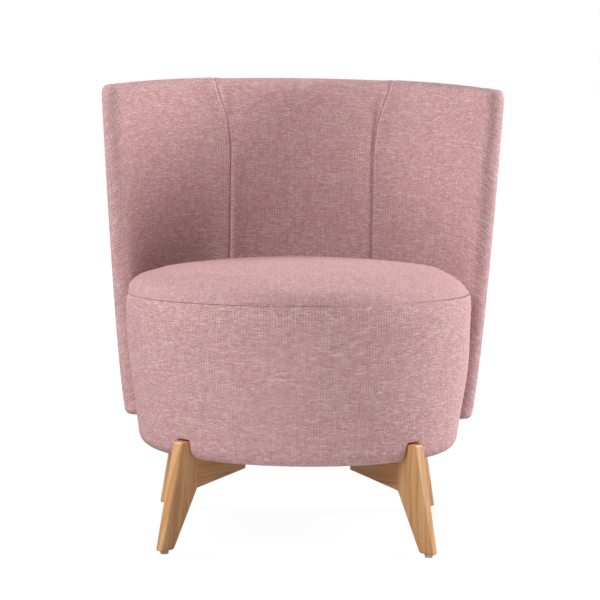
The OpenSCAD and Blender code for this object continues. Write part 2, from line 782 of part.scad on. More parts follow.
module back_bolts() {
    color(steel_colour) at_back_bolts() outwards(back_washer_r - washer_t)
        bolt(nut_seat_r - back_washer_r + washer_t);
}

module back_washers() {
    color(steel_colour) at_back_bolts() outwards(back_washer_r - washer_t) washer(back_washer_d);
}

module back_tee_nuts() {
    color(steel_colour) at_back_bolts() outwards(nut_seat_r)
        tee_nut(shell_t - nut_seat_depth - nut_end_gap);
}

leg_front_left();
leg_front_right();
leg_rear_right();
leg_rear_left();
arm_front_left();
arm_front_right();
arm_rear_right();
arm_rear_left();
leg_dowels();
arm_bolts();
arm_washers();
base_tee_nuts();
foot_glides();
glide_nails();
base_panel();
frame_hoop();
frame_posts();
upper_ring();
webbing_along();
webbing_across();
seat_foam();
drum_side_foam();
seat_top_cover();
drum_side_cover();
dust_cover();
dust_cover_staples();
back_shell();
back_foam_centre();
wing_foam_right();
wing_foam_left();
back_outer_foam();
back_inner_cover_centre();
wing_inner_cover_right();
wing_inner_cover_left();
back_outer_cover();
back_bottom_trim();
back_spacers();
back_bolts();
back_washers();
back_tee_nuts();
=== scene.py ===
"""Round tub armchair: a padded drum seat, a wrap-round padded back and four radial oak legs.

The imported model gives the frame. This script dresses it: sewn covers that swell between their
seams, mottled woven cloth, stitches, oak legs, and finishes for everything inside and underneath.
Lengths are in metres, +Z is up and the chair faces -Y.
"""
import logging
import math
from dataclasses import dataclass, field
from enum import Enum
from typing import Any, Callable, Sequence

import bmesh
import bpy
import numpy as np
from mathutils import Matrix, Vector


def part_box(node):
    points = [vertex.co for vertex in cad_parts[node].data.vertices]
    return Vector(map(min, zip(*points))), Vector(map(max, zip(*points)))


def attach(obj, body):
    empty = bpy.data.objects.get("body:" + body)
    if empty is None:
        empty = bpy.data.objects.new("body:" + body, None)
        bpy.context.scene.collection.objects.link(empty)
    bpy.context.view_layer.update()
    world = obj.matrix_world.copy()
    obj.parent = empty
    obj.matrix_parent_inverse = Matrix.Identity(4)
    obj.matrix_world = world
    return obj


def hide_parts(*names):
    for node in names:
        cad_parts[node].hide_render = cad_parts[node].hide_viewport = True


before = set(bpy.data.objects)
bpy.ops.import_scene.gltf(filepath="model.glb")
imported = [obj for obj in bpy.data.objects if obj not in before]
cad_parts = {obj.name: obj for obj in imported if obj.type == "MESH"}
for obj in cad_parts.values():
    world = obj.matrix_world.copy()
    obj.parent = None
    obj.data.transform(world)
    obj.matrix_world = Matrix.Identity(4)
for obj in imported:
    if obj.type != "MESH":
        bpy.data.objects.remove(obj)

LOG = logging.getLogger("armchair")
BODY = "root"
LEG_NODES = ("leg_front_left", "leg_front_right", "leg_rear_right", "leg_rear_left")
WEAVE_UV = "weave"
MM = 0.001
TURN = 2 * math.pi
GRID = 6 * MM
EDGE_BAND = 9 * MM

Array = np.ndarray
Colour = tuple[float, float, float]


def linear(tone: Colour) -> tuple[float, float, float, float]:
    """Turns an sRGB colour into the linear one that the shaders take.

    Args:
        tone: Red, green and blue from 0 to 255.

    Returns:
        The linear colour with an alpha of 1.
    """
    def channel(value: float) -> float:
        """Turns one value."""
        share = value / 255
        return share / 12.92 if share <= 0.04045 else ((share + 0.055) / 1.055) ** 2.4

    return *(channel(value) for value in tone), 1.0


def smooth(low: float, high: float, value: Array) -> Array:
    """Rises smoothly from 0 at low to 1 at high.

    Args:
        low: Where the rise starts.
        high: Where the rise ends.
        value: The values to judge.

    Returns:
        A share from 0 to 1 for each value.
    """
    t = np.clip((value - low) / (high - low), 0, 1)
    return t * t * (3 - 2 * t)


def spaced(low: float, high: float, step: float, fine: float, edge: float) -> Array:
    """Spaces values so that they lie closer together near both ends.

    Args:
        low: First value.
        high: Last value.
        step: Distance between values in the middle.
        fine: Distance between values near the ends.
        edge: How far the close spacing reaches in from an end.

    Returns:
        The values in rising order.
    """
    ends = max(2, round(edge / fine))
    middle = max(1, round((high - low - 2 * edge) / step))
    return np.concatenate([
        np.linspace(low, low + edge, ends, endpoint=False),
        np.linspace(low + edge, high - edge, middle, endpoint=False),
        np.linspace(high - edge, high, ends + 1),
    ])


def path_lengths(first: Array, second: Array) -> Array:
    """Measures how far each point of a plane line lies along it.

    Args:
        first: The points' places along one axis.
        second: Their places along the other.

    Returns:
        The lengths, from 0.
    """
    return np.concatenate([[0], np.cumsum(np.hypot(np.diff(first), np.diff(second)))])


def furrow(distance: Array, depth: float, width: float) -> Array:
    """Gives the depth of the groove that a seam draws into its pad.

    Args:
        distance: Distances to the seam.
        depth: The groove's depth at the seam.
        width: How far the groove reaches.

    Returns:
        The depths.
    """
    return depth * np.exp(-(distance / width) ** 2)


# Shader building


class Wire:
    """A socket of a shader tree that takes part in Python sums."""

    def __init__(self, tree: bpy.types.NodeTree, socket: bpy.types.NodeSocket) -> None:
        """Keeps the tree and the socket."""
        self.tree = tree
        self.socket = socket

    def _sum(self, operation: str, first: "Wire | float", second: "Wire | float") -> "Wire":
        """Adds a Math node.

        Args:
            operation: The node's operation.
            first: Its first value.
            second: Its second value.

        Returns:
            The node's result.
        """
        node = self.tree.nodes.new("ShaderNodeMath")
        node.operation = operation
        for slot, value in zip(node.inputs, (first, second)):
            if isinstance(value, Wire):
                self.tree.links.new(value.socket, slot)
            else:
                slot.default_value = float(value)
        return Wire(self.tree, node.outputs[0])

    def __add__(self, other: "Wire | float") -> "Wire":
        """Adds."""
        return self._sum("ADD", self, other)

    __radd__ = __add__

    def __sub__(self, other: "Wire | float") -> "Wire":
        """Subtracts."""
        return self._sum("SUBTRACT", self, other)

    def __rsub__(self, other: float) -> "Wire":
        """Subtracts from a number."""
        return self._sum("SUBTRACT", other, self)

    def __mul__(self, other: "Wire | float") -> "Wire":
        """Multiplies."""
        return self._sum("MULTIPLY", self, other)

    __rmul__ = __mul__

    def __truediv__(self, other: "Wire | float") -> "Wire":
        """Divides."""
        return self._sum("DIVIDE", self, other)

    def __rtruediv__(self, other: float) -> "Wire":
        """Divides a number."""
        return self._sum("DIVIDE", other, self)

    def larger(self, other: "Wire | float") -> "Wire":
        """Gives the larger of two values."""
        return self._sum("MAXIMUM", self, other)

    def sine(self) -> "Wire":
        """Gives the sine."""
        return self._sum("SINE", self, 0.0)

    def fraction(self) -> "Wire":
        """Gives what follows the decimal point."""
        return self._sum("FRACT", self, 0.0)

    def whole(self) -> "Wire":
        """Rounds down."""
        return self._sum("FLOOR", self, 0.0)


class ShaderBook:
    """Writes the node tree of one material, or of the world."""

    def __init__(self, owner: str | bpy.types.World) -> None:
        """Starts with an empty tree.

        Args:
            owner: The new material's name, or the world.
        """
        named = isinstance(owner, str)
        self.owner = bpy.data.materials.new(owner) if named else owner
        self.owner.use_nodes = True
        self.tree = self.owner.node_tree
        self.tree.nodes.clear()
        self.output = self.tree.nodes.new("ShaderNodeOutput" + ("Material" if named else "World"))

    def node(self, kind: str, settings: dict[str, Any] | None = None,
             values: dict[str | int, Any] | None = None, out: str | int = 0) -> Wire:
        """Adds a node.

        Args:
            kind: The node's type, without its prefix.
            settings: Attributes that are set first.
            values: Numbers, colours or wires for its sockets.
            out: The output that is wanted.

        Returns:
            That output.
        """
        node = self.tree.nodes.new("ShaderNode" + kind)
        for key, value in (settings or {}).items():
            setattr(node, key, value)
        for key, value in (values or {}).items():
            socket = node.inputs[key]
            if isinstance(value, Wire):
                self.tree.links.new(value.socket, socket)
            else:
                socket.default_value = value
        return Wire(self.tree, node.outputs[out])

    def blend(self, first: Any, second: Any, share: Wire | float) -> Wire:
        """Mixes two colours.

        Args:
            first: The colour at a share of 0.
            second: The colour at a share of 1.
            share: How much of the second there is.

        Returns:
            The mixed colour.
        """
        return self.node("Mix", {"data_type": "RGBA"}, {0: share, 6: first, 7: second}, 2)

    def shaded(self, colour: Wire | Colour, shade: Wire) -> Wire:
        """Makes a colour lighter or darker.

        Args:
            colour: The colour, or an sRGB tone.
            shade: What it is multiplied by.

        Returns:
            The shaded colour.
        """
        first = colour if isinstance(colour, Wire) else linear(colour)[:3]
        return self.node("VectorMath", {"operation": "SCALE"}, {0: first, "Scale": shade})

    def step(self, value: Wire, low: float, high: float, to_low: float = 0.0,
             to_high: float = 1.0) -> Wire:
        """Turns a span of values smoothly into another.

        Args:
            value: The value that is judged.
            low: Where the rise starts.
            high: Where the rise ends.
            to_low: The result up to low.
            to_high: The result from high.

        Returns:
            The result.
        """
        return self.node("MapRange", {"interpolation_type": "SMOOTHSTEP"}, {
            "Value": value, "From Min": low, "From Max": high, "To Min": to_low, "To Max": to_high})

    def vector(self, x: Wire | float, y: Wire | float, z: Wire | float = 0.0) -> Wire:
        """Joins three values to a vector."""
        return self.node("CombineXYZ", None, {0: x, 1: y, 2: z})

    def noise(self, place: Wire, detail: float = 2.0, roughness: float = 0.5,
              scale: float = 1.0) -> Wire:
        """Gives soft noise at a place.

        Args:
            place: Where the noise is read.
            detail: Number of finer layers.
            roughness: Strength of the finer layers.
            scale: Scale of the place.

        Returns:
            The noise, about 0.5 on average.
        """
        return self.node("TexNoise", {"noise_dimensions": "3D"}, {
            "Vector": place, "Scale": scale, "Detail": detail, "Roughness": roughness})

    def grain(self, parts: Sequence[Wire | float], cell: Sequence[float], detail: float = 2.0,
              roughness: float = 0.5) -> Wire:
        """Gives noise that is stretched to cells of a size.

        Args:
            parts: The place's parts.
            cell: Length of a cell along each part.
            detail: Number of finer layers.
            roughness: Strength of the finer layers.

        Returns:
            The noise, about 0.5 on average.
        """
        return self.noise(self.vector(*(part / size for part, size in zip(parts, cell))), detail, roughness)

    def place(self) -> Wire:
        """Gives the place on the chair, in metres."""
        return self.node("TexCoord", None, None, "Object")

    def uv(self) -> tuple[Wire, Wire]:
        """Gives the piece's own cloth coordinates: along the weft and across it."""
        place = self.node("UVMap", {"uv_map": WEAVE_UV})
        return self.split(place)[:2]

    def split(self, place: Wire) -> tuple[Wire, Wire, Wire]:
        """Takes a vector apart.

        Args:
            place: The vector.

        Returns:
            Its three parts.
        """
        first = self.node("SeparateXYZ", None, {0: place})
        outputs = first.socket.node.outputs
        return tuple(Wire(self.tree, outputs[i]) for i in range(3))

    def bump(self, height: Wire, strength: float, distance: float) -> Wire:
        """Makes a relief from a height."""
        return self.node("Bump", None, {
            "Height": height, "Strength": strength, "Distance": distance})

    def close(self, shader: Wire) -> bpy.types.Material | bpy.types.World:
        """Ends the tree in a shader and gives its owner."""
        self.tree.links.new(shader.socket, self.output.inputs["Surface"])
        return self.owner

    def finish(self, **values: Any) -> bpy.types.Material:
        """Ends the tree in a Principled shader.

        Args:
            values: Its sockets, with underscores for blanks.

        Returns:
            The finished material.
        """
        return self.close(self.node("BsdfPrincipled", None, {
            key.replace("_", " "): value for key, value in values.items()}))


# Finishes


@dataclass(frozen=True)
class MottledCloth:
    """Plain-woven mottled cloth: each pick of the weft changes its own tone along its length."""

    name: str = "mottled_rose_cloth"
    ground: Colour = (202, 163, 164)
    pale: Colour = (224, 208, 205)
    rose: Colour = (178, 116, 120)
    warp_period: float = 4.9 * MM
    weft_period: float = 3.9 * MM
    picks: float = 3.3
    slub_length: float = 14 * MM
    warp_length: float = 24 * MM
    wander: float = 0.8 * MM
    wander_cell: tuple[float, float] = (90 * MM, 30 * MM)
    patch_cell: tuple[float, float] = (70 * MM, 45 * MM)
    rose_share: float = 0.5
    pale_share: float = 0.58
    warp_share: float = 0.2
    weave_shade: float = 0.47
    patch_shade: float = 0.1
    relief: float = 0.4 * MM
    contrast: float = 1.0
    seed: float = 3.7

    def build(self) -> bpy.types.Material:
        """Writes the material's nodes.

        Returns:
            The finished material.
        """
        book = ShaderBook(self.name)
        along, across = book.uv()
        wide, high = self.wander_cell
        drift = book.noise(book.vector(along / wide, across / high, self.seed)) - 0.5
        row = across + drift * self.wander
        pick = (row * (self.picks / self.weft_period)).whole()
        end = (along * (2 / self.warp_period)).whole()

        def yarn(length: float, seed: float, detail: float = 2.0) -> Wire:
            """Gives noise that runs along each pick by itself."""
            return book.noise(book.vector(along / length, pick * 3.37, self.seed + seed), detail, 0.6)

        short = yarn(self.slub_length * 0.4, 11.0)
        pale = yarn(self.slub_length, 5.0, 1.0)
        rose = yarn(self.slub_length * 0.7, 23.0, 1.0)
        warp = book.noise(book.vector(end * 2.71, across / self.warp_length, self.seed + 31), 1.0)
        wide, high = self.patch_cell
        patch = book.noise(book.vector(along / wide, across / high, self.seed + 41), 3.0, 0.6)
        rib = (along * (TURN / self.warp_period)).sine()
        weave = rib * (0.2 + (row * (TURN / self.weft_period)).sine() * 0.85)

        colour = book.blend(linear(self.rose), linear(self.ground), book.step(short, 0.3, 0.55, 0.35))
        for tone, share, strength in (
                (self.rose, book.step(rose, 0.52, 0.68), self.rose_share * self.contrast),
                (self.pale, book.step(pale, 0.54, 0.69), self.pale_share * self.contrast),
                (self.pale, book.step(warp, 0.5, 0.75), self.warp_share)):
            colour = book.blend(colour, linear(tone), share * strength)
        shade = 0.97 + weave * (self.weave_shade * self.contrast) + (patch - 0.5) * self.patch_shade
        relief = weave * 0.8 + pale * 0.7 + short * 0.4
        return book.finish(
            Base_Color=book.shaded(colour, shade),
            Roughness=0.84 + (short - 0.5) * 0.2,
            Normal=book.bump(relief, 0.5, self.relief),
            Specular_IOR_Level=0.08,
        )


class Grain(Enum):
    """Which way a board's grain runs."""

    UPRIGHT = "upright"
    OUTWARDS = "outwards"


@dataclass(frozen=True)
class OiledOak:
    """Pale oak with long grain, open pores and a satin oil finish."""

    name: str
    turn: float
    centre: tuple[float, float, float]
    grain: Grain = Grain.UPRIGHT
    early: Colour = (214, 165, 113)
    late: Colour = (186, 132, 82)
    pore: Colour = (124, 82, 48)
    ring_width: float = 6 * MM

    def build(self) -> bpy.types.Material:
        """Writes the material's nodes.

        Returns:
            The finished material.
        """
        book = ShaderBook(self.name)
        turned = book.node("Mapping", {"vector_type": "TEXTURE"}, {
            "Vector": book.place(), "Location": self.centre, "Rotation": (0.0, 0.0, self.turn)})
        outwards, sideways, upwards = book.split(turned)
        if self.grain is Grain.UPRIGHT:
            along, across, depth = upwards, sideways + outwards * 0.55, outwards
        else:
            along, across, depth = outwards, upwards + sideways * 0.4, sideways
        parts = (along, across, depth)
        drift = book.grain(parts, (110 * MM, 20 * MM, 50 * MM), 1.0) - 0.5
        ring = across / self.ring_width + drift * 2.2
        bands = book.noise(book.vector(along / 0.4, ring, depth / 0.04), 3.0, 0.55)
        fibre = book.grain(parts, (50 * MM, 0.7 * MM, 2 * MM), 2.0, 0.6)
        pores = book.grain(parts, (9 * MM, 0.35 * MM, 0.5 * MM), 0.0)
        colour = book.blend(linear(self.early), linear(self.late), book.step(bands, 0.36, 0.68))
        colour = book.blend(colour, linear(self.late), book.step(fibre, 0.5, 0.78) * 0.45)
        pore_share = book.step(pores, 0.66, 0.78) * 0.5
        colour = book.blend(colour, linear(self.pore), pore_share)
        return book.finish(
            Base_Color=colour,
            Roughness=0.42 + bands * 0.14,
            Normal=book.bump(fibre * 0.5 - pore_share, 0.25, 0.25 * MM),
            Coat_Weight=0.12, Coat_Roughness=0.35,
        )


class Layup(Enum):
    """How a board is made."""

    PLY = "ply"
    SOLID = "solid"


@dataclass(frozen=True)
class Board:
    """Unfinished wood of the inner frame."""

    name: str
    face: Colour
    dark: Colour
    layup: Layup = Layup.SOLID
    ply_thickness: float = 1.5 * MM

    def build(self) -> bpy.types.Material:
        """Writes the material's nodes.

        Returns:
            The finished material.
        """
        book = ShaderBook(self.name)
        x, y, z = book.split(book.place())
        grain = book.grain((x, y, z), (160 * MM, 12 * MM, 160 * MM), 3.0, 0.6)
        colour = book.blend(linear(self.face), linear(self.dark), book.step(grain, 0.35, 0.72))
        if self.layup is Layup.PLY:
            layer = (z / self.ply_thickness).whole() * 0.5
            colour = book.blend(colour, linear(self.dark), layer.fraction() * 0.7)
        return book.finish(Base_Color=colour, Roughness=0.62 + grain * 0.2,
                           Normal=book.bump(grain, 0.2, 0.3 * MM))


@dataclass(frozen=True)
class BlackCloth:
    """Black woven or bonded cloth of the dust cover, the trim and the webbing."""

    name: str
    tone: Colour = (44, 43, 46)
    cell: float = 2.4 * MM
    stripe: float = 0.0

    def build(self) -> bpy.types.Material:
        """Writes the material's nodes.

        Returns:
            The finished material.
        """
        book = ShaderBook(self.name)
        place = book.place()
        x, y, _ = book.split(place)
        fuzz = book.noise(place, 3.0, 0.6, 420.0)
        dots = (x * (TURN / self.cell)).sine() * (y * (TURN / self.cell)).sine()
        shade = 0.8 + fuzz * 0.5 + dots * 0.14
        if self.stripe:
            shade = shade + ((x + y) * (TURN / self.stripe)).sine() * 0.12
        return book.finish(Base_Color=book.shaded(self.tone, shade), Roughness=0.82 + fuzz * 0.12,
                           Normal=book.bump(dots * 0.6 + fuzz, 0.4, 0.3 * MM), Specular_IOR_Level=0.25)


@dataclass(frozen=True)
class ZincSteel:
    """Bright zinc-plated steel of bolts, washers, nuts and staples."""

    name: str = "zinc_steel"

    def build(self) -> bpy.types.Material:
        """Writes the material's nodes.

        Returns:
            The finished material.
        """
        book = ShaderBook(self.name)
        spangle = book.noise(book.place(), 2.0, 0.5, 260.0)
        colour = book.blend(linear((176, 178, 182)), linear((206, 206, 203)), spangle)
        return book.finish(Base_Color=colour, Roughness=0.26 + spangle * 0.2, Metallic=1.0,
                           Normal=book.bump(spangle, 0.1, 0.1 * MM))


@dataclass(frozen=True)
class GlidePlastic:
    """Cloudy grey plastic of the foot glides, scuffed underneath."""

    name: str = "cloudy_grey_plastic"

    def build(self) -> bpy.types.Material:
        """Writes the material's nodes.

        Returns:
            The finished material.
        """
        book = ShaderBook(self.name)
        place = book.place()
        _, _, height = book.split(place)
        scuff = book.noise(place, 3.0, 0.7, 700.0)
        worn = book.step(height, 0.0, 1.2 * MM, 1.0, 0.0)
        colour = book.blend(linear((186, 182, 176)), linear((150, 146, 141)), scuff * worn)
        return book.finish(Base_Color=colour, Roughness=0.38 + worn * 0.3,
                           Normal=book.bump(scuff * worn, 0.3, 0.2 * MM),
                           Subsurface_Weight=0.15, Subsurface_Radius=(0.004, 0.004, 0.004))


@dataclass(frozen=True)
class SewingThread:
    """Twisted polyester thread."""

    name: str = "rose_thread"
    tone: Colour = (222, 192, 188)
    ply: float = 0.9 * MM

    def build(self) -> bpy.types.Material:
        """Writes the material's nodes.

        Returns:
            The finished material.
        """
        book = ShaderBook(self.name)
        x, y, z = book.split(book.place())
        twist = ((x + y + z) * (TURN / self.ply)).sine()
        return book.finish(Base_Color=book.shaded(self.tone, 0.92 + twist * 0.08),
                           Roughness=0.6 + twist * 0.05, Sheen_Weight=0.2)


@dataclass(frozen=True)
class Finishes:
    """Every material of the chair, built once."""

    cloth: bpy.types.Material
    seat_cloth: bpy.types.Material
    beech: bpy.types.Material
    ply: bpy.types.Material
    dust: bpy.types.Material
    trim: bpy.types.Material
    webbing: bpy.types.Material
    steel: bpy.types.Material
    glide: bpy.types.Material
    thread: bpy.types.Material
    seam: bpy.types.Material
    back_seam: bpy.types.Material

    @staticmethod
    def build() -> "Finishes":
        """Builds the materials.

        Returns:
            The finishes.
        """
        return Finishes(
            cloth=MottledCloth().build(),
            seat_cloth=MottledCloth("mottled_rose_cloth_seat", contrast=0.55).build(),
            beech=Board("beech", (222, 188, 148), (196, 156, 114)).build(),
            ply=Board("birch_ply", (214, 184, 142), (168, 130, 88), Layup.PLY).build(),
            dust=BlackCloth("black_dust_cloth", cell=2.4 * MM).build(),
            trim=BlackCloth("black_trim_tape", cell=1.6 * MM).build(),
            webbing=BlackCloth("black_webbing", cell=3.0 * MM, stripe=12 * MM).build(),
            steel=ZincSteel().build(),
            glide=GlidePlastic().build(),
            thread=SewingThread().build(),
            # The seam threads are darker than the cloth: a thread lies in each seam, and its dark tone is
            # painted shade of the seam's groove.
            seam=SewingThread("seam_shade_thread", (132, 100, 94)).build(),
            back_seam=SewingThread("back_seam_thread", (158, 116, 116)).build(),
        )


# Meshes


@dataclass
class Skin:
    """A cover's outer face: a grid of points with cloth coordinates and distances to its held lines."""

    points: Array
    cloth: Array
    held: Array
    wrap: bool = False
    normals: Array = field(default=None)

    def __post_init__(self) -> None:
        """Works out the normals where none are given."""
        if self.normals is None:
            self.normals = grid_normals(self.points, self.wrap)


def grid_normals(points: Array, wrap: bool) -> Array:
    """Gives the normals of a grid: the way along a row crossed with the way up the columns.

    Args:
        points: The grid.
        wrap: Whether the last column joins the first.

    Returns:
        A unit normal for each point.
    """
    if wrap:
        along = np.roll(points, -1, axis=1) - np.roll(points, 1, axis=1)
    else:
        along = np.gradient(points, axis=1)
    up = np.gradient(points, axis=0)
    cross = np.cross(along, up)
    length = np.linalg.norm(cross, axis=-1, keepdims=True)
    normals = cross / np.maximum(length, 1e-12)
    for row in range(1, len(normals)):
        weak = length[row, :, 0] < 1e-9
        normals[row, weak] = normals[row - 1, weak]
    return normals


def border_distances(points: Array) -> tuple[Array, Array, Array, Array]:
    """Measures each point of a grid along its row and its column.

    Args:
        points: The grid.

    Returns:
        Distances to the first column, the last column, the first row and the last row.
    """
    steps = np.linalg.norm(np.diff(points, axis=1), axis=-1)
    left = np.concatenate([np.zeros((len(points), 1)), np.cumsum(steps, axis=1)], axis=1)
    rises = np.linalg.norm(np.diff(points, axis=0), axis=-1)
    low = np.concatenate([np.zeros((1, points.shape[1])), np.cumsum(rises, axis=0)], axis=0)
    return left, left[:, -1:] - left, low, low[-1:] - low


def quad_grid(rows: int, columns: int, wrap: bool) -> Array:
    """Gives the corners of each cell of a grid of points.

    Args:
        rows: Number of rows of points.
        columns: Number of points in a row.
        wrap: Whether the last column joins the first.

    Returns:
        Four point numbers for each cell, in rows of cells.
    """
    i, j = np.meshgrid(np.arange(rows - 1), np.arange(columns if wrap else columns - 1), indexing="ij")
    k = (j + 1) % columns
    return np.stack([i * columns + j, i * columns + k, (i + 1) * columns + k, (i + 1) * columns + j], -1)


def pad_mesh(name: str, front: Array, back: Array, cloth: Array, material: bpy.types.Material,
             wrap: bool = False, keep: Array | None = None, flip: bool = False,
             period: float = 0.0) -> bpy.types.Object:
    """Makes a closed pad between a front grid and a back grid.

    Args:
        name: The object's name.
        front: The grid that shows.
        back: The grid behind it.
        cloth: Cloth coordinates of each point.
        material: The pad's material.
        wrap: Whether the last column joins the first.
        keep: Which cells of the grid are there, or None for all.
        flip: Whether the grid runs the other way round.
        period: Length after which the first cloth coordinate starts again, or 0.

    Returns:
        The object, linked to the scene.
    """
    rows, columns = front.shape[:2]
    count = rows * columns
    quads = quad_grid(rows, columns, wrap)
    quads = quads[keep] if keep is not None else quads.reshape(-1, 4)
    edges = np.concatenate([quads[:, [n, (n + 1) % 4]] for n in range(4)])
    keys = edges.min(axis=1).astype(np.int64) * count + edges.max(axis=1)
    _, first, number = np.unique(keys, return_index=True, return_counts=True)
    rim = edges[first[number == 1]]
    sides = np.stack([rim[:, 1], rim[:, 0], rim[:, 0] + count, rim[:, 1] + count], axis=-1)
    faces = np.concatenate([quads, quads[:, ::-1] + count, sides])
    if flip:
        faces = faces[:, ::-1]
    used, compact = np.unique(faces, return_inverse=True)
    points = np.concatenate([front.reshape(-1, 3), back.reshape(-1, 3)])[used]
    weave = np.concatenate([cloth.reshape(-1, 2)] * 2)[used]
    piece = make_object(name, points, compact.reshape(-1, 4).tolist(), weave, material, period)
    mesh = bmesh.new()
    mesh.from_mesh(piece.data)
    bmesh.ops.remove_doubles(mesh, verts=mesh.verts, dist=0.02 * MM)
    bmesh.ops.dissolve_degenerate(mesh, dist=0.01 * MM, edges=mesh.edges)
    mesh.to_mesh(piece.data)
    mesh.free()
    return piece


def add_object(name: str, data: bpy.types.ID | None) -> bpy.types.Object:
    """Puts an object with its data into the scene.

    Args:
        name: The object's name.
        data: Its mesh, camera or light.

    Returns:
        The object.
    """
    added = bpy.data.objects.new(name, data)
    bpy.context.scene.collection.objects.link(added)
    return added


def make_object(name: str, points: Array, faces: Sequence[Sequence[int]], cloth: Array | None,
                material: bpy.types.Material | None, period: float = 0.0) -> bpy.types.Object:
    """Makes a smooth mesh object.

    Args:
        name: The object's name.
        points: Its points.
        faces: Its faces.
        cloth: Cloth coordinates of each point, or None.
        material: Its material, or None.
        period: Length after which the first cloth coordinate starts again, or 0.

    Returns:
        The object, linked to the scene.
    """
    mesh = bpy.data.meshes.new(name)
    mesh.from_pydata(points.reshape(-1, 3).tolist(), [], faces)
    if cloth is not None:
        layer = mesh.uv_layers.new(name=WEAVE_UV)
        corners = np.zeros(len(mesh.loops), np.int32)
        mesh.loops.foreach_get("vertex_index", corners)
        values = cloth.reshape(-1, 2)[corners].astype(np.float64)
        if period:
            starts = np.zeros(len(mesh.polygons), np.int32)
            sizes = np.zeros(len(mesh.polygons), np.int32)
            mesh.polygons.foreach_get("loop_start", starts)
            mesh.polygons.foreach_get("loop_total", sizes)
            span = np.maximum.reduceat(values[:, 0], starts) - np.minimum.reduceat(values[:, 0], starts)
            crossing = np.repeat(span > period / 2, sizes) & (values[:, 0] < period / 2)
            values[crossing, 0] += period
        layer.data.foreach_set("uv", values.astype(np.float32).ravel())
    mesh.polygons.foreach_set("use_smooth", np.ones(len(mesh.polygons), bool))
    if material is not None:
        mesh.materials.append(material)
    mesh.update()
    return add_object(name, mesh)


def settle(piece: bpy.types.Object, slot: str, *replaced: str) -> bpy.types.Object:
    """Hands a finished piece to the frame.

    Args:
        piece: The finished piece.
        slot: The material slot of the record; not used.
        replaced: CAD nodes that the piece stands for.

    Returns:
        The piece.
    """
    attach(piece, BODY)
    if replaced:
        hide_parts(*replaced)
    LOG.info("%s: %d faces, stands for %s", piece.name, len(piece.data.polygons),
             ", ".join(replaced) or "no node")
    return piece


@dataclass
class Swelling:
    """Cloth simulation of a cover that is held along its seams and pushed out by its pad."""

    pressure: float = 4.0
    frames: int = 16
    cap: float = 4.5 * MM
    inset: float = 3.2 * MM
    reach: float = 40 * MM
    pinned: float = 2.5 * MM
    made_good: float = 1.0

    def run(self, name: str, skin: Skin) -> Array:
        """Swells a cover between its seams.

        Args:
            name: A name for the passing object.
            skin: The cover at its wanted size.

        Returns:
            The points of the swollen cover.
        """
        slack = smooth(0, self.reach, skin.held)[..., None]
        start = skin.points - skin.normals * (self.inset * slack)
        move = self.simulate(name, start, skin) - start
        length = np.linalg.norm(move, axis=-1, keepdims=True)
        capped = move * (self.cap * np.tanh(length / self.cap) / np.maximum(length, 1e-9))
        swollen = start + capped
        short = ((skin.points - swollen) * skin.normals).sum(axis=-1)
        lift = self.made_good * float(np.median(short[skin.held > self.reach]))
        LOG.info("%s: the cloth moved up to %.1f mm, kept up to %.1f mm, then was lifted %.1f mm", name,
                 length.max() / MM, np.linalg.norm(capped, axis=-1).max() / MM, lift / MM)
        return swollen + skin.normals * (lift * slack)

    def simulate(self, name: str, start: Array, skin: Skin) -> Array:
        """Blows the cover up with its held lines pinned.

        Args:
            name: A name for the passing object.
            start: The points of the slack cover.
            skin: The cover at its wanted size.

        Returns:
            The points after the last frame.
        """
        faces = quad_grid(*start.shape[:2], skin.wrap).reshape(-1, 4).tolist()
        cover = make_object(name, start, faces, None, None)
        pins = cover.vertex_groups.new(name="pins")
        pins.add(np.flatnonzero(skin.held.ravel() < self.pinned).tolist(), 1.0, "REPLACE")
        cloth = cover.modifiers.new("cloth", "CLOTH")
        wanted = {"quality": 5, "mass": 0.3, "tension_stiffness": 20, "compression_stiffness": 20,
                  "shear_stiffness": 10, "bending_stiffness": 2, "use_pressure": True,
                  "uniform_pressure_force": self.pressure, "vertex_group_mass": "pins"}
        for key, value in wanted.items():
            setattr(cloth.settings, key, value)
        cloth.settings.effector_weights.gravity = 0
        cloth.collision_settings.use_collision = False
        cloth.collision_settings.use_self_collision = False
        cloth.point_cache.frame_start = 1
        cloth.point_cache.frame_end = self.frames
        scene = bpy.context.scene
        for number in range(1, self.frames + 1):
            scene.frame_set(number)
        evaluated = cover.evaluated_get(bpy.context.evaluated_depsgraph_get())
        flat = np.zeros(start.size, np.float32)
        evaluated.data.vertices.foreach_get("co", flat)
        mesh = cover.data
        bpy.data.objects.remove(cover)
        bpy.data.meshes.remove(mesh)
        scene.frame_set(1)
        return flat.reshape(start.shape)


def disc_grid(count: int, crowding: float = 1.0) -> tuple[Array, Array]:
    """Draws a square grid onto a disc of radius 1, so that it has no pole.

    Args:
        count: Number of cells along a side.
        crowding: How much closer the points lie near the rim; 1 is even.

    Returns:
        The points' x and y.
    """
    line = np.linspace(-1, 1, count + 1)
    line = np.sign(line) * (1 - (1 - np.abs(line)) ** crowding)
    u, v = np.meshgrid(line, line, indexing="xy")
    return u * np.sqrt(1 - v * v / 2), v * np.sqrt(1 - u * u / 2)


@dataclass(frozen=True)
class Waves:
    """Low waves of a hand-filled pad, which fade out towards the lines where its cover is held."""

    size: float
    height: float
    fade: float
    number: int = 7

    def heights(self, points: Array, held: Array, seed: int) -> Array:
        """Gives the waves' heights.

        Args:
            points: Places on the pad.
            held: Distances to the held lines.
            seed: Seed of the waves' directions.

        Returns:
            A height for each point.
        """
        rng = np.random.default_rng(seed)
        total = np.zeros(points.shape[:-1])
        for _ in range(self.number):
            way = rng.normal(size=3)
            way /= np.linalg.norm(way)
            length = self.size * rng.uniform(0.7, 1.6)
            total += np.sin(points @ way * (TURN / length) + rng.uniform(0, TURN))
        return self.height * total / math.sqrt(self.number) * smooth(0, self.fade, held)


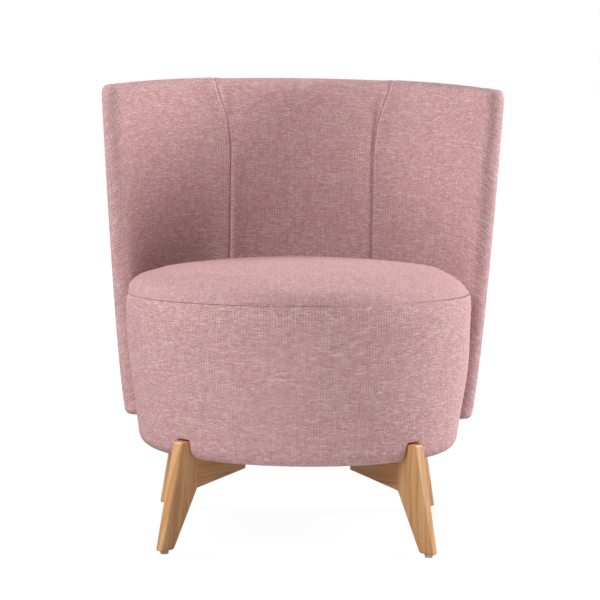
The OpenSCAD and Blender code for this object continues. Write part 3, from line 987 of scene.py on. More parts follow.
def lay_sheet(name: str, plan: tuple[Array, Array], low: Array | float, high: Array | float, cloth: Array,
              material: bpy.types.Material, node: str, flip: bool = False) -> bpy.types.Object:
    """Lays a level sheet in the place of a CAD node.

    Args:
        name: The piece's name.
        plan: The x and y of a grid of points.
        low: Height of its underside.
        high: Height of its upper side.
        cloth: Cloth coordinates of each point.
        material: The sheet's material.
        node: The node that it stands for.
        flip: Whether the grid's front is the upper side.

    Returns:
        The piece.
    """
    levels = (high, low) if flip else (low, high)
    front, back = (np.stack([*plan, np.broadcast_to(z, plan[0].shape)], axis=-1) for z in levels)
    piece = pad_mesh(name, front, back, cloth, material)
    return settle(piece, "black_cloth", node)


# Sewing


def path_object(name: str, points: Array, closed: bool) -> bpy.types.Object:
    """Makes a line of mesh edges through points.

    Args:
        name: The object's name.
        points: The line's points.
        closed: Whether the last point joins the first.

    Returns:
        The line, linked to the scene.
    """
    count = len(points)
    edges = [(i, (i + 1) % count) for i in range(count if closed else count - 1)]
    mesh = bpy.data.meshes.new(name)
    mesh.from_pydata(points.tolist(), edges, [])
    return add_object(name, mesh)


@dataclass(frozen=True)
class StitchRow:
    """A node tree that sews stitches, or a thread without gaps, along a line of edges."""

    name: str
    length: float = 3.2 * MM
    spacing: float = 5.2 * MM
    radius: float = 0.38 * MM
    continuous: bool = False

    def tree(self) -> bpy.types.NodeTree:
        """Builds the geometry nodes.

        Returns:
            The node group, whose inputs are the line and the stitches' sizes.
        """
        group = bpy.data.node_groups.new(self.name, "GeometryNodeTree")
        group.interface.new_socket("Line", in_out="INPUT", socket_type="NodeSocketGeometry")
        for label in ("Stitch Length", "Stitch Spacing", "Thread Radius"):
            group.interface.new_socket(label, in_out="INPUT", socket_type="NodeSocketFloat")
        group.interface.new_socket("Thread", in_out="INPUT", socket_type="NodeSocketMaterial")
        group.interface.new_socket("Stitches", in_out="OUTPUT", socket_type="NodeSocketGeometry")

        def node(kind: str, values: dict[str | int, Any] | None = None, **settings: Any) -> Any:
            """Adds a node with its settings, fills its sockets and gives its outputs.

            Args:
                kind: The node's type.
                values: Numbers or sockets for its inputs.
                settings: Attributes that are set first.

            Returns:
                The node's outputs.
            """
            made = group.nodes.new(kind)
            for key, value in settings.items():
                setattr(made, key, value)
            for key, value in (values or {}).items():
                if isinstance(value, bpy.types.NodeSocket):
                    group.links.new(value, made.inputs[key])
                else:
                    made.inputs[key].default_value = value
            return made.outputs

        entry = node("NodeGroupInput")
        radius = entry["Thread Radius"]
        curve = node("GeometryNodeMeshToCurve", {0: entry["Line"]})
        places = node("GeometryNodeResampleCurve", {"Curve": curve[0], "Length": entry["Stitch Spacing"]},
                      mode="LENGTH")
        if self.continuous:
            ring = node("GeometryNodeCurvePrimitiveCircle", {"Resolution": 6, "Radius": radius})
            made = node("GeometryNodeCurveToMesh", {"Curve": places[0], "Profile Curve": ring[0]})
        else:
            bead = node("GeometryNodeMeshUVSphere", {"Segments": 6, "Rings": 5, "Radius": 1.0})
            half = node("ShaderNodeMath", {0: entry["Stitch Length"], 1: 0.5}, operation="MULTIPLY")
            size = node("ShaderNodeCombineXYZ", {0: radius, 1: radius, 2: half[0]})
            tangent = node("GeometryNodeInputTangent")
            turn = node("FunctionNodeAlignRotationToVector", {"Vector": tangent[0]}, axis="Z")
            made = node("GeometryNodeInstanceOnPoints", {
                "Points": places[0], "Instance": bead["Mesh"], "Rotation": turn[0], "Scale": size[0]})
        real = node("GeometryNodeRealizeInstances", {0: made[0]})
        finish = node("GeometryNodeSetMaterial", {"Geometry": real[0], "Material": entry["Thread"]})
        node("NodeGroupOutput", {0: finish[0]})
        return group

    def sew(self, points: Array, material: bpy.types.Material, closed: bool = False) -> bpy.types.Object:
        """Sews along a line.

        Args:
            points: The line.
            material: The thread's material.
            closed: Whether the line is a ring.

        Returns:
            The stitches as a plain mesh object.
        """
        line = path_object(self.name + "_line", points, closed)
        modifier = line.modifiers.new("stitches", "NODES")
        group = self.tree()
        modifier.node_group = group
        keys = {item.name: item.identifier for item in group.interface.items_tree}
        wanted = {"Stitch Length": self.length, "Stitch Spacing": self.spacing,
                  "Thread Radius": self.radius, "Thread": material}
        for label, value in wanted.items():
            modifier[keys[label]] = value
        evaluated = line.evaluated_get(bpy.context.evaluated_depsgraph_get())
        mesh = bpy.data.meshes.new_from_object(evaluated)
        bpy.data.objects.remove(line)
        mesh.polygons.foreach_set("use_smooth", np.ones(len(mesh.polygons), bool))
        return settle(add_object(self.name, mesh), "upholstery")


# Seat drum


@dataclass
class SeatDrum:
    """The padded drum: a crowned top and a tapered side, sewn together in one ring seam."""

    finishes: Finishes
    crown_height: float = 480 * MM
    seam_height: float = 421 * MM
    wide_radius: float = 303 * MM
    wide_height: float = 388.5 * MM
    low_radius: float = 279.7 * MM
    bottom: float = 151.5 * MM
    edge: float = 25 * MM
    bulge: float = 4 * MM
    seam_inset: float = 3 * MM
    shoulder: float = 33 * MM
    shoulder_power: float = 30.0
    plump: float = 4.5 * MM
    plump_rise: tuple[float, float] = (2 * MM, 14 * MM)
    plump_fall: tuple[float, float] = (30 * MM, 75 * MM)
    lean_right: float = 0.0125
    lean_back: float = 0.01
    lean_start: float = 150 * MM
    shift: float = 2.5 * MM
    shift_start: float = 100 * MM
    turn_under: float = 38 * MM
    hoop_radius: float = 255.6 * MM
    pad_floor: float = 389.5 * MM
    frame_floor: float = 153.6 * MM
    leg_top: float = 183.5 * MM
    leg_half: float = 11.5 * MM
    notch_gap: float = 1.2 * MM
    notch_round: float = 2.5 * MM
    notch_tuck: float = 5 * MM
    groove: float = 1.5 * MM
    groove_width: float = 4.5 * MM
    seam_shade_thread: float = 0.4 * MM
    thread_rise: float = 0.25 * MM
    top_inset: float = 2.6 * MM
    cover_depth: float = 2 * MM
    hem_margin: float = 1 * MM
    easing: float = 26 * MM
    top_waves: Waves = Waves(size=160 * MM, height=0.35 * MM, fade=50 * MM)
    side_waves: Waves = Waves(size=140 * MM, height=0.7 * MM, fade=40 * MM)
    axis: float = field(init=False)
    leg_angles: list[float] = field(init=False)

    def __post_init__(self) -> None:
        """Reads the drum's axis and the legs' angles from the frame."""
        low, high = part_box("seat_top_cover")
        self.axis = (low.y + high.y) / 2
        self.leg_angles = [leg_angle(name, self.axis) for name in LEG_NODES]

    @property
    def seam_radius(self) -> float:
        """Radius of the ring seam."""
        return self.wide_radius - self.seam_inset

    def around(self, radius: Array, angle: Array, z: Array) -> Array:
        """Places points round the drum's axis."""
        return np.stack([radius * np.cos(angle), radius * np.sin(angle) + self.axis, z], axis=-1)

    def side_radius(self, z: Array) -> Array:
        """Gives the side's radius at a height above the rounded lower edge, eased at the widest place.

        Args:
            z: Heights above the floor.

        Returns:
            A radius for each height.
        """
        steps = np.linspace(-1, 1, 9)
        reach = np.clip(self.seam_height - z, 0, self.easing)
        weights = 1.2 - steps ** 2
        parts = [weight * self.plain_radius(z + step * reach) for weight, step in zip(weights, steps)]
        return sum(parts) / weights.sum()

    def plain_radius(self, z: Array) -> Array:
        """Gives the side's radius at a height, before the change of slope is eased.

        Args:
            z: Heights above the floor.

        Returns:
            A radius for each height.
        """
        base = self.bottom + self.edge
        share = (z - base) / (self.wide_height - base)
        straight = self.low_radius + (self.wide_radius - self.low_radius) * share
        low = straight + self.bulge * np.sin(np.pi * share)
        high = self.wide_radius - self.seam_inset * (
            (z - self.wide_height) / (self.seam_height - self.wide_height)) ** 2
        return np.where(z < self.wide_height, low, high)

    def top_skin(self) -> Skin:
        """Lays out the top cover as a square grid drawn onto the disc.

        Returns:
            The cover's outer face.
        """
        x, y = disc_grid(2 * round(self.seam_radius / GRID), 1.25)
        f = np.clip(np.hypot(x, y), 0, 1)
        table = 1 - np.linspace(1, 0, 2001) ** 2
        rise = self.crown_height - self.seam_height - self.shoulder
        profile = self.shoulder * np.sqrt(np.clip(1 - table ** self.shoulder_power, 0, 1))
        profile += rise * (1 - table ** 2)
        lengths = path_lengths(table * self.seam_radius, profile)
        height = self.seam_height + np.interp(f, table, profile)
        points = np.stack([x * self.seam_radius, y * self.seam_radius + self.axis, height], axis=-1)
        arc = np.interp(f, table, lengths)
        share = arc / np.maximum(f, 1e-6)
        cloth = np.stack([x * share, y * share], axis=-1)
        run = np.gradient(table * self.seam_radius, lengths)
        fall = -np.gradient(profile, lengths)
        radial = np.stack([x, y, np.zeros_like(x)], axis=-1) / np.maximum(f, 1e-6)[..., None]
        normals = radial * np.interp(f, table, fall)[..., None]
        normals[..., 2] += np.interp(f, table, run)
        normals /= np.linalg.norm(normals, axis=-1, keepdims=True)
        return Skin(self.lean(points), cloth, lengths[-1] - arc, normals=normals)

    def uneven_shoulder(self, skin: Skin) -> Array:
        """Makes the shoulder fuller on the picture's left and flatter on its right.

        Args:
            skin: The top cover's outer face.

        Returns:
            How far each point moves outwards.
        """
        share = -skin.points[..., 0] / self.seam_radius
        band = smooth(*self.plump_rise, skin.held) * (1 - smooth(*self.plump_fall, skin.held))
        return self.plump * share * band

    def lean(self, points: Array) -> Array:
        """Tips the top and the ring seam a little, as the sewn cover sits on the real seat.

        Args:
            points: Places on the cover.

        Returns:
            The moved places.
        """
        moved = points.copy()
        rise = points[..., 2] - self.bottom
        full = self.seam_height - self.bottom
        tip = self.lean_right * points[..., 0] + self.lean_back * (points[..., 1] - self.axis)
        moved[..., 2] += tip * smooth(self.lean_start, full, rise)
        moved[..., 0] -= self.shift * smooth(self.shift_start, full, rise)
        return moved

    def build_top(self) -> None:
        """Builds the crowned seat pad and the thread in the ring seam; the thread's dark tone is painted
        shade of the seam.
        """
        skin = self.top_skin()
        points = Swelling().run("seat_top_swelling", skin)
        depth = self.top_waves.heights(points, skin.held, seed=5)
        depth -= furrow(skin.held, self.groove, self.groove_width)
        depth += self.uneven_shoulder(skin)
        front = points + skin.normals * depth[..., None]
        radial = (skin.points - (0, self.axis, 0)) * (1, 1, 0)
        floor_radius = float(self.side_radius(np.array(self.pad_floor))) - self.top_inset
        back = radial * (floor_radius / self.seam_radius) + (0, self.axis, self.pad_floor)
        piece = pad_mesh("seat_top_pad", front, back, skin.cloth, self.finishes.seat_cloth)
        settle(piece, "upholstery", "seat_top_cover", "seat_foam")
        angles = np.linspace(0, TURN, 480, endpoint=False)
        radius = self.seam_radius - self.groove + self.thread_rise
        ring = self.around(radius, angles, np.full_like(angles, self.seam_height))
        # The thread in the ring seam is dark: painted shade of the seam's groove.
        row = StitchRow("ring_seam_thread", spacing=4 * MM, radius=self.seam_shade_thread, continuous=True)
        row.sew(self.lean(ring), self.finishes.seam, closed=True)

    def column_angles(self) -> Array:
        """Spaces the columns round the drum, closer together beside the legs.

        Returns:
            The columns' angles in rising order.
        """
        half = (self.leg_half + self.notch_gap) / self.hoop_radius
        reach = EDGE_BAND / self.hoop_radius
        marks = []
        for centre in sorted(angle % TURN for angle in self.leg_angles):
            for edge in (centre - half, centre + half):
                marks.append(np.linspace(edge - reach, edge + reach, 15))
        marks = np.sort(np.concatenate(marks))
        columns = [marks]
        for start, end in zip(marks, np.append(marks[1:], marks[0] + TURN)):
            number = math.floor((end - start) * self.wide_radius / GRID)
            columns.append(np.linspace(start, end, number + 2)[1:-1])
        return np.sort(np.concatenate(columns) % TURN)

    def side_outline(self) -> tuple[Array, Array, Array]:
        """Lays out the side cover's outline from its turned-under hem up to the seam.

        Returns:
            Radii, heights and lengths along the cloth.
        """
        centre = self.low_radius - self.edge
        hem = np.linspace(centre - self.turn_under, centre, 7)[:-1]
        turn = np.linspace(0, math.pi / 2, 15)[:-1]
        above_notch = self.leg_top + self.notch_gap + EDGE_BAND
        low = np.linspace(self.bottom + self.edge, above_notch, 14)[:-1]
        high = spaced(above_notch, self.seam_height, GRID, GRID / 4, EDGE_BAND)
        rise = np.concatenate([low, high])
        radii = np.concatenate([hem, centre + self.edge * np.sin(turn), self.side_radius(rise)])
        heights = np.concatenate([np.full(len(hem), self.bottom),
                                  self.bottom + self.edge * (1 - np.cos(turn)), rise])
        return radii, heights, path_lengths(radii, heights)

    def notch_distance(self, angles: Array, radii: Array, heights: Array) -> Array:
        """Measures how far places on the side lie outside the nearest notch for a leg.

        Args:
            angles: Angles round the drum's axis.
            radii: Distances from the axis.
            heights: Heights above the floor.

        Returns:
            The distances, below 0 inside a notch.
        """
        nearest = np.full(angles.shape, 1.0)
        half = self.leg_half + self.notch_gap
        top = self.leg_top + self.notch_gap
        for centre in self.leg_angles:
            off = (angles - centre + math.pi) % TURN - math.pi
            sideways = np.abs(np.sin(off) * radii) - half + self.notch_round
            upwards = heights - top + self.notch_round
            outside = np.hypot(np.maximum(sideways, 0), np.maximum(upwards, 0))
            inside = np.minimum(np.maximum(sideways, upwards), 0)
            distance = outside + inside - self.notch_round
            distance = np.maximum(distance, self.hoop_radius - self.hem_margin - radii)
            distance = np.where(np.cos(off) < 0, 1.0, distance)
            nearest = np.minimum(nearest, distance)
        return nearest

    def build_side(self) -> None:
        """Builds the side pad, with a rounded notch over each leg."""
        radii, heights, lengths = self.side_outline()
        angles = self.column_angles()
        r, a = np.meshgrid(radii, angles, indexing="ij")
        z = np.broadcast_to(heights[:, None], r.shape)
        seam = np.broadcast_to((lengths[-1] - lengths)[:, None], r.shape)
        hem = np.broadcast_to((lengths - self.turn_under)[:, None], r.shape)
        points = self.around(r, a, z)
        along = (a - math.pi / 2) % TURN * self.wide_radius
        cloth = np.stack([along, np.broadcast_to(lengths[:, None], r.shape)], axis=-1)
        notch = self.notch_distance(a, r, z)
        held = np.minimum(np.minimum(seam, np.maximum(hem, 0)), np.maximum(notch, 0))
        skin = Skin(self.lean(points), cloth, held, wrap=True)
        swollen = Swelling().run("drum_side_swelling", skin)
        depth = self.side_waves.heights(swollen, held, seed=8)
        depth -= furrow(seam, self.groove, self.groove_width)
        tuck = self.notch_tuck
        inward = np.clip(tuck - notch, 0, tuck)
        depth -= np.where(hem > 0, tuck - np.sqrt(tuck ** 2 - inward ** 2), 0)
        front = swollen + skin.normals * depth[..., None]
        back_radius = np.where(z > self.pad_floor, r - self.cover_depth, np.minimum(r, self.hoop_radius))
        back_height = np.maximum(z, self.frame_floor)
        back = self.around(back_radius, a, back_height)
        beside = np.roll(notch, -1, 1)
        middle = 0.25 * (notch[:-1] + notch[1:] + beside[:-1] + beside[1:])
        piece = pad_mesh("drum_side_pad", front, back, cloth, self.finishes.cloth, wrap=True,
                         keep=middle > 0, period=TURN * self.wide_radius)
        settle(piece, "upholstery", "drum_side_cover", "drum_side_foam")


# Back


Laid = tuple[Array, Array, Array, Array]


@dataclass
class BackRest:
    """The padded wall round the rear of the drum: a centre panel, two wings and an outer cover."""

    finishes: Finishes
    drum: SeatDrum
    height: float = 810.5 * MM
    low: float = 187.5 * MM
    thickness: float = 44 * MM
    gap: float = 1 * MM
    flare: float = 54.5 * MM
    lean_power: float = 0.7
    wing_angle: float = math.radians(72.5)
    tilt: float = math.radians(6.2)
    panel: float = 288 * MM
    splay_height: float = 660 * MM
    splay_angle: float = math.radians(6.6)
    shell_half: float = 5.8 * MM
    tape: float = 1 * MM
    corner: float = 8 * MM
    crest_shift: float = math.radians(16)
    ear_power: float = 1.3
    groove: float = 1.3 * MM
    groove_width: float = 3.5 * MM
    edge_groove: float = 1 * MM
    crest_groove: float = 1.2 * MM
    ridge: float = 0.4 * MM
    ridge_place: float = 6 * MM
    ridge_width: float = 3 * MM
    waves: Waves = Waves(size=130 * MM, height=0.8 * MM, fade=50 * MM)
    stitch_line: float = 5 * MM
    stitch_start: float = 12 * MM
    stitch_end: float = 3 * MM
    seam_gap: float = 0.3 * MM
    wing_slope: float = math.radians(27)
    slope_fade: tuple[float, float] = (45 * MM, 120 * MM)
    crest_fade: tuple[float, float] = (0.0, 80 * MM)
    ear_fade: tuple[float, float] = (15 * MM, 90 * MM)
    base: float = field(init=False)

    def __post_init__(self) -> None:
        """Finds the radius at which the wall just clears the drum."""
        z = np.linspace(self.low, self.drum.seam_height, 11)
        self.base = float(np.max(self.drum.side_radius(z) - self.lean(z))) + self.gap + self.half

    @property
    def half(self) -> float:
        """Half the wall's thickness."""
        return self.thickness / 2

    @property
    def crest_height(self) -> float:
        """Height of the wall's middle under the crest at the rear."""
        return self.height - self.half

    def lean(self, z: Array) -> Array:
        """Gives how far the wall leans out at a height."""
        share = (z - self.low) / (self.crest_height - self.low)
        return self.flare * np.maximum(share, 0) ** self.lean_power

    def radius(self, z: Array) -> Array:
        """Gives the radius of the wall's middle at a height."""
        return self.base + self.lean(z)

    def crest(self, a: Array) -> Array:
        """Gives the height of the wall's middle under the crest at an angle from the rear."""
        top = self.base + self.flare
        return self.crest_height - math.tan(self.tilt) * top * (1 - np.cos(a))

    def seam_angle(self, z: Array) -> Array:
        """Gives the angle of an inner seam at a height."""
        half = self.panel / 2
        turned = self.splay_angle * (np.maximum(0, z - self.splay_height) / half) ** 2
        return np.arcsin(half / self.radius(z)) + turned

    def place(self, a: Array, phi: Array, z: Array, roll: Array, rho: Array | float) -> Array:
        """Places points on the wall.

        Args:
            a: Angle from the rear.
            phi: Turn round the wall's front edge: 0 is inside and pi is outside.
            z: Height of the wall's middle.
            roll: Turn over the wall's top.
            rho: Distance from the wall's middle.

        Returns:
            The points.
        """
        r = self.radius(z) - rho * np.cos(roll) * np.cos(phi)
        forward = rho * np.cos(roll) * np.sin(phi)
        x = r * np.sin(a) + forward * np.cos(a)
        y = r * np.cos(a) - forward * np.sin(a) + self.drum.axis
        return np.stack([x, y, z + rho * np.sin(roll)], axis=-1)

    def levels(self) -> tuple[Array, Array]:
        """Spaces the rows: shares of the wall's height, then shares of the roll over the top.

        Returns:
            Share of the height and share of the roll for each row.
        """
        wall = self.crest_height - self.low
        fine = np.linspace(0, EDGE_BAND, 7)[:-1] / wall
        rest = np.linspace(EDGE_BAND / wall, 1, round(wall / GRID))[:-1]
        shares = np.concatenate([fine, rest, np.ones(13)])
        rolls = np.concatenate([np.zeros(len(fine) + len(rest)), np.linspace(0, 1, 13)])
        return shares, rolls

    def lay(self, angles: Callable[[Array], Array], phi: Array, side: int) -> Laid:
        """Lays out a panel's grid.

        Args:
            angles: Gives the columns' angles for each height.
            phi: Turn round the front edge of each column.
            side: 1 for an inner panel and -1 for the outer one.

        Returns:
            Angle, turn round the front edge, height and roll of each point.
        """
        shares, rolls = self.levels()
        start = self.low + self.tape + self.seam_gap
        heights = start + (self.crest_height - start) * shares
        a = angles(heights)
        top = self.crest(a)
        z = start + (top - start) * shares[:, None]
        from_front = (self.wing_angle - np.abs(a)) * self.radius(z)
        shift = self.crest_shift * smooth(*self.crest_fade, from_front) * side
        roll = rolls[:, None] * (math.pi / 2 + shift)
        return a, np.broadcast_to(phi, a.shape), z, roll

    def ear(self, a: Array, z: Array, roll: Array) -> Array:
        """Gives how far out the roll over the top lies: round along the rear, squarer at a wing's front.

        Args:
            a: Angles from the rear.
            z: Heights of the wall's middle.
            roll: Turns over the wall's top.

        Returns:
            A factor for each point's distance from the wall's middle.
        """
        from_front = (self.wing_angle - np.abs(a)) * self.radius(z)
        power = 2 + self.ear_power * (1 - smooth(*self.ear_fade, from_front))
        return (np.abs(np.cos(roll)) ** power + np.abs(np.sin(roll)) ** power) ** (-1 / power)

    def corner_cut(self, z: Array) -> Array:
        """Gives how far the lower edge is rounded off at a height."""
        rise = np.clip(self.corner - (z - self.low - self.tape), 0, self.corner)
        return self.corner - np.sqrt(self.corner ** 2 - rise ** 2)

    def build_panel(self, name: str, nodes: tuple[str, str], laid: Laid, seams: tuple[float, float],
                    seed: int, slope: float = 0.0, swollen: Array | None = None,
                    mirror: bool = False) -> tuple[Array, Array]:
        """Builds one padded panel.

        Args:
            name: The piece's name.
            nodes: The cover and the foam that it stands for.
            laid: The grid from lay().
            seams: Depth of the grooves along the first and the last column.
            seed: Seed of the pad's waves.
            slope: Steepest slope of the weft beside the wing's front edge.
            swollen: The swollen points of a twin, or None.
            mirror: Whether the panel lies on the other side of the chair.

        Returns:
            The face's points, and the swollen points before the grooves.
        """
        a, phi, z, roll = laid
        rho = (self.half - self.corner_cut(z)) * self.ear(a, z, roll)
        points = self.place(a, phi, z, roll, rho)
        left, right, low, high = border_distances(points)
        fall = math.tan(slope) * (1 - smooth(*self.slope_fade, right))
        steps = np.diff(left, axis=1, prepend=0)
        cloth = np.stack([left + 0.37 * seed, low + np.cumsum(fall * steps, axis=1) + 0.53 * seed], axis=-1)
        held = np.minimum(np.minimum(left, right), np.minimum(low, high))
        skin = Skin(points, cloth, held)
        if swollen is None:
            swollen = Swelling(made_good=0.0).run(name + "_swelling", skin)
        depth = self.waves.heights(swollen, held, seed)
        for distance, groove in ((left, seams[0]), (right, seams[1]), (high, self.crest_groove)):
            depth -= furrow(distance, groove, self.groove_width)
            if groove == self.groove:
                depth += furrow(distance - self.ridge_place, self.ridge, self.ridge_width)
        front = swollen + skin.normals * depth[..., None]
        back = self.place(a, phi, z, roll, self.shell_half)
        if mirror:
            front = front * (-1, 1, 1)
            back = back * (-1, 1, 1)
        piece = pad_mesh(name, front, back, cloth, self.finishes.cloth, flip=mirror)
        settle(piece, "upholstery", *nodes)
        return front, swollen

    def build(self) -> None:
        """Builds the panels, the stitches beside the inner seams and the tape underneath."""
        step = GRID / self.radius(np.array(self.crest_height))
        gap = self.seam_gap / 2 / self.base
        seam = self.seam_angle(np.linspace(self.low, self.crest_height, 50))
        centre_shares = self.column_shares(2 * float(seam.max()) / step)
        wing_shares = self.wing_shares(float(self.wing_angle - seam.min()) / step)
        outer_shares = self.column_shares(2 * self.wing_angle / step)
        turns = np.linspace(0, math.pi, 23)[1:]
        phi_wing = np.concatenate([np.zeros(len(wing_shares)), turns])

        def centre(z: Array) -> Array:
            """Spaces the centre panel's columns."""
            return (self.seam_angle(z) - gap)[:, None] * (2 * centre_shares - 1)

        def wing(z: Array) -> Array:
            """Spaces a wing's columns, with the turn round its front edge at the end.

            Args:
                z: The rows' heights.

            Returns:
                An angle for each row and column.
            """
            s = (self.seam_angle(z) + gap)[:, None]
            inner = s + (self.wing_angle - s) * wing_shares
            return np.concatenate([inner, np.full((len(z), len(turns)), self.wing_angle)], axis=1)

        def outer(z: Array) -> Array:
            """Spaces the outer cover's columns."""
            return np.tile(self.wing_angle * (1 - 2 * outer_shares), (len(z), 1))

        laid = self.lay(centre, np.array(0.0), 1)
        nodes = ("back_inner_cover_centre", "back_foam_centre")
        self.build_panel("back_centre_pad", nodes, laid, (self.groove, self.groove), 21)
        laid = self.lay(wing, phi_wing, 1)
        faces: dict[str, Array] = {}
        swollen = None
        for side, seed in (("right", 22), ("left", 23)):
            nodes = ("wing_inner_cover_" + side, "wing_foam_" + side)
            faces[side], swollen = self.build_panel(
                "wing_pad_" + side, nodes, laid, (self.groove, self.edge_groove), seed,
                self.wing_slope, swollen, mirror=side == "left")
        laid = self.lay(outer, np.array(math.pi), -1)
        nodes = ("back_outer_cover", "back_outer_foam")
        self.build_panel("back_outer_pad", nodes, laid, (self.edge_groove, self.edge_groove), 24)
        for side, face in faces.items():
            self.sew(side, face)
        self.build_tape()

    def build_tape(self) -> None:
        """Builds the tape that closes the wall's lower edge, set back from its rounded corners."""
        reach = self.wing_angle - self.corner / self.base
        width = 2 * (self.half - self.corner)
        angles = np.linspace(-reach, reach, 160)
        a, t = np.meshgrid(angles, np.linspace(-width / 2, width / 2, 5), indexing="ij")
        r = self.base + t
        plan = (r * np.sin(a), r * np.cos(a) + self.drum.axis)
        cloth = np.stack([a * self.base, t], axis=-1)
        piece = lay_sheet("back_tape", plan, self.low, self.low + self.tape, cloth,
                          self.finishes.trim, "back_bottom_trim")
        2 * reach * self.base

    @staticmethod
    def column_shares(number: float) -> Array:
        """Spaces columns from 0 to 1, closer together at both ends."""
        edge = EDGE_BAND / GRID / number
        return spaced(0, 1, 1 / number, edge / 5, edge)

    @staticmethod
    def wing_shares(number: float) -> Array:
        """Spaces columns from 0 to 1, closer together at the start."""
        edge = EDGE_BAND / GRID / number
        return np.concatenate([np.linspace(0, edge, 5, endpoint=False),
                               np.linspace(edge, 1, round((1 - edge) * number))])

    def sew(self, side: str, face: Array) -> None:
        """Sews the row of stitches beside an inner seam and the thread in the seam, whose dark tone is
        painted shade of the seam.

        Args:
            side: Which seam it is.
            face: The wing's points; the first column lies on the seam.
        """
        left, _, low, high = border_distances(face)
        rows = (low[:, 0] > self.stitch_start) & (high[:, 0] > self.stitch_end)

        def line(distance: float) -> Array:
            """Follows the face at a distance from the seam."""
            return np.array([[np.interp(distance, left[i], face[i, :, k]) for k in range(3)]
                             for i in np.flatnonzero(rows)])

        topstitch = StitchRow("back_topstitch_" + side, radius=0.34 * MM)
        topstitch.sew(line(self.stitch_line), self.finishes.thread)
        # The thread in the seam is dark: painted shade of the seam's groove.
        seam = StitchRow("back_seam_thread_" + side, spacing=4 * MM, radius=self.drum.seam_shade_thread,
                         continuous=True)
        seam.sew(line(0.0), self.finishes.back_seam)


# Legs and hidden frame


def leg_angle(name: str, axis: float) -> float:
    """Finds the angle of a leg round the drum's axis.

    Args:
        name: The leg's node.
        axis: The axis's place along Y.

    Returns:
        The angle from +X.
    """
    low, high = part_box(name)
    return math.atan2((low.y + high.y) / 2 - axis, (low.x + high.x) / 2)


def dress(node: str, material: bpy.types.Material) -> None:
    """Gives a CAD node its finish.

    Args:
        node: The node's name.
        material: The finish.
    """
    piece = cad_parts[node]
    piece.data.materials.clear()
    piece.data.materials.append(material)


@dataclass
class LegFrame:
    """Four oak legs with their arms, dowels, glides and nails; the arms' oak is darkened with painted
    shade.
    """

    finishes: Finishes
    axis: float
    # The arms' oak is darker than the legs': painted shade, for the shade that the arms lie in under the
    # seat.
    arm_painted_shade_early: Colour = (200, 147, 95)
    arm_painted_shade_late: Colour = (174, 118, 70)
    grain_shift: float = 0.37

    def build(self) -> None:
        """Dresses the legs and what belongs to them."""
        for name in LEG_NODES:
            turn = leg_angle(name, self.axis)
            low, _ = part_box(name)
            place = (0.0, self.axis, low.x * self.grain_shift)
            arm = name.replace("leg", "arm")
            # The arms take the darker oak tones: painted shade under the seat.
            painted_shade_arm_oak = OiledOak("oak_" + arm, turn, place, Grain.OUTWARDS, self.arm_painted_shade_early, self.arm_painted_shade_late)
            dress(name, OiledOak("oak_" + name, turn, place).build())
            dress(arm, painted_shade_arm_oak.build())
        dress("leg_dowels", self.finishes.beech)
        dress("foot_glides", self.finishes.glide)
        dress("glide_nails", self.finishes.steel)
        LOG.info("leg frame: oak legs and arms, dowels, glides and nails")


@dataclass
class HiddenFrame:
    """What carries the pads: boards, bent plywood, posts, straps and fasteners."""

    finishes: Finishes
    drum: SeatDrum
    strap_width: float = 60 * MM
    strap_spacing: float = 86 * MM
    straps_each_way: int = 4

    def build(self) -> None:
        """Dresses the frame and makes the cloth parts of it."""
        for node in ("base_panel", "frame_hoop", "upper_ring", "back_shell"):
            dress(node, self.finishes.ply)
        for node in ("frame_posts", "back_spacers"):
            dress(node, self.finishes.beech)
        for node in ("arm_bolts", "arm_washers", "base_tee_nuts", "dust_cover_staples",
                     "back_bolts", "back_washers", "back_tee_nuts"):
            dress(node, self.finishes.steel)
        self.dust_cover()
        for direction in ("along", "across"):
            self.straps(direction)
        LOG.info("hidden frame: boards, posts, fasteners, dust cover and straps")

    def dust_cover(self) -> None:
        """Makes the dust cover, which ripples a little between its staples."""
        low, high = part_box("dust_cover")
        radius = (high.x - low.x) / 2
        u, v = disc_grid(80)
        f, a = np.hypot(u, v), np.arctan2(v, u)
        ripple = 0.1 * MM * np.sin(24 * a) * smooth(0.55, 0.95, f) * (1 - smooth(0.97, 1, f))
        plan = (radius * u, radius * v + self.drum.axis)
        piece = lay_sheet("dust_cover_cloth", plan, low.z + ripple, high.z, np.stack(plan, axis=-1),
                          self.finishes.dust, "dust_cover", flip=True)

    def straps(self, direction: str) -> None:
        """Makes the four straps of one direction.

        Args:
            direction: "along" for those that run front to back, "across" for the others.
        """
        node = "webbing_" + direction
        low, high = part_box(node)
        width, spacing = self.strap_width, self.strap_spacing
        ring = max(high.x - low.x, high.y - low.y) / 2
        reach = math.hypot(ring, (spacing + width) / 2)
        for number in range(self.straps_each_way):
            middle = (number - (self.straps_each_way - 1) / 2) * spacing
            half = math.sqrt(reach ** 2 - (abs(middle) + width / 2) ** 2)
            run = np.linspace(-half, half, 60)
            over = np.linspace(-width / 2, width / 2, 7) + middle
            s, t = np.meshgrid(run, over, indexing="ij")
            x, y = (-t, s) if direction == "along" else (s, t)
            piece = lay_sheet(f"strap_{direction}_{number + 1}", (x, y + self.drum.axis), low.z, high.z,
                              np.stack([s, t], axis=-1), self.finishes.webbing, node)


# Camera and studio


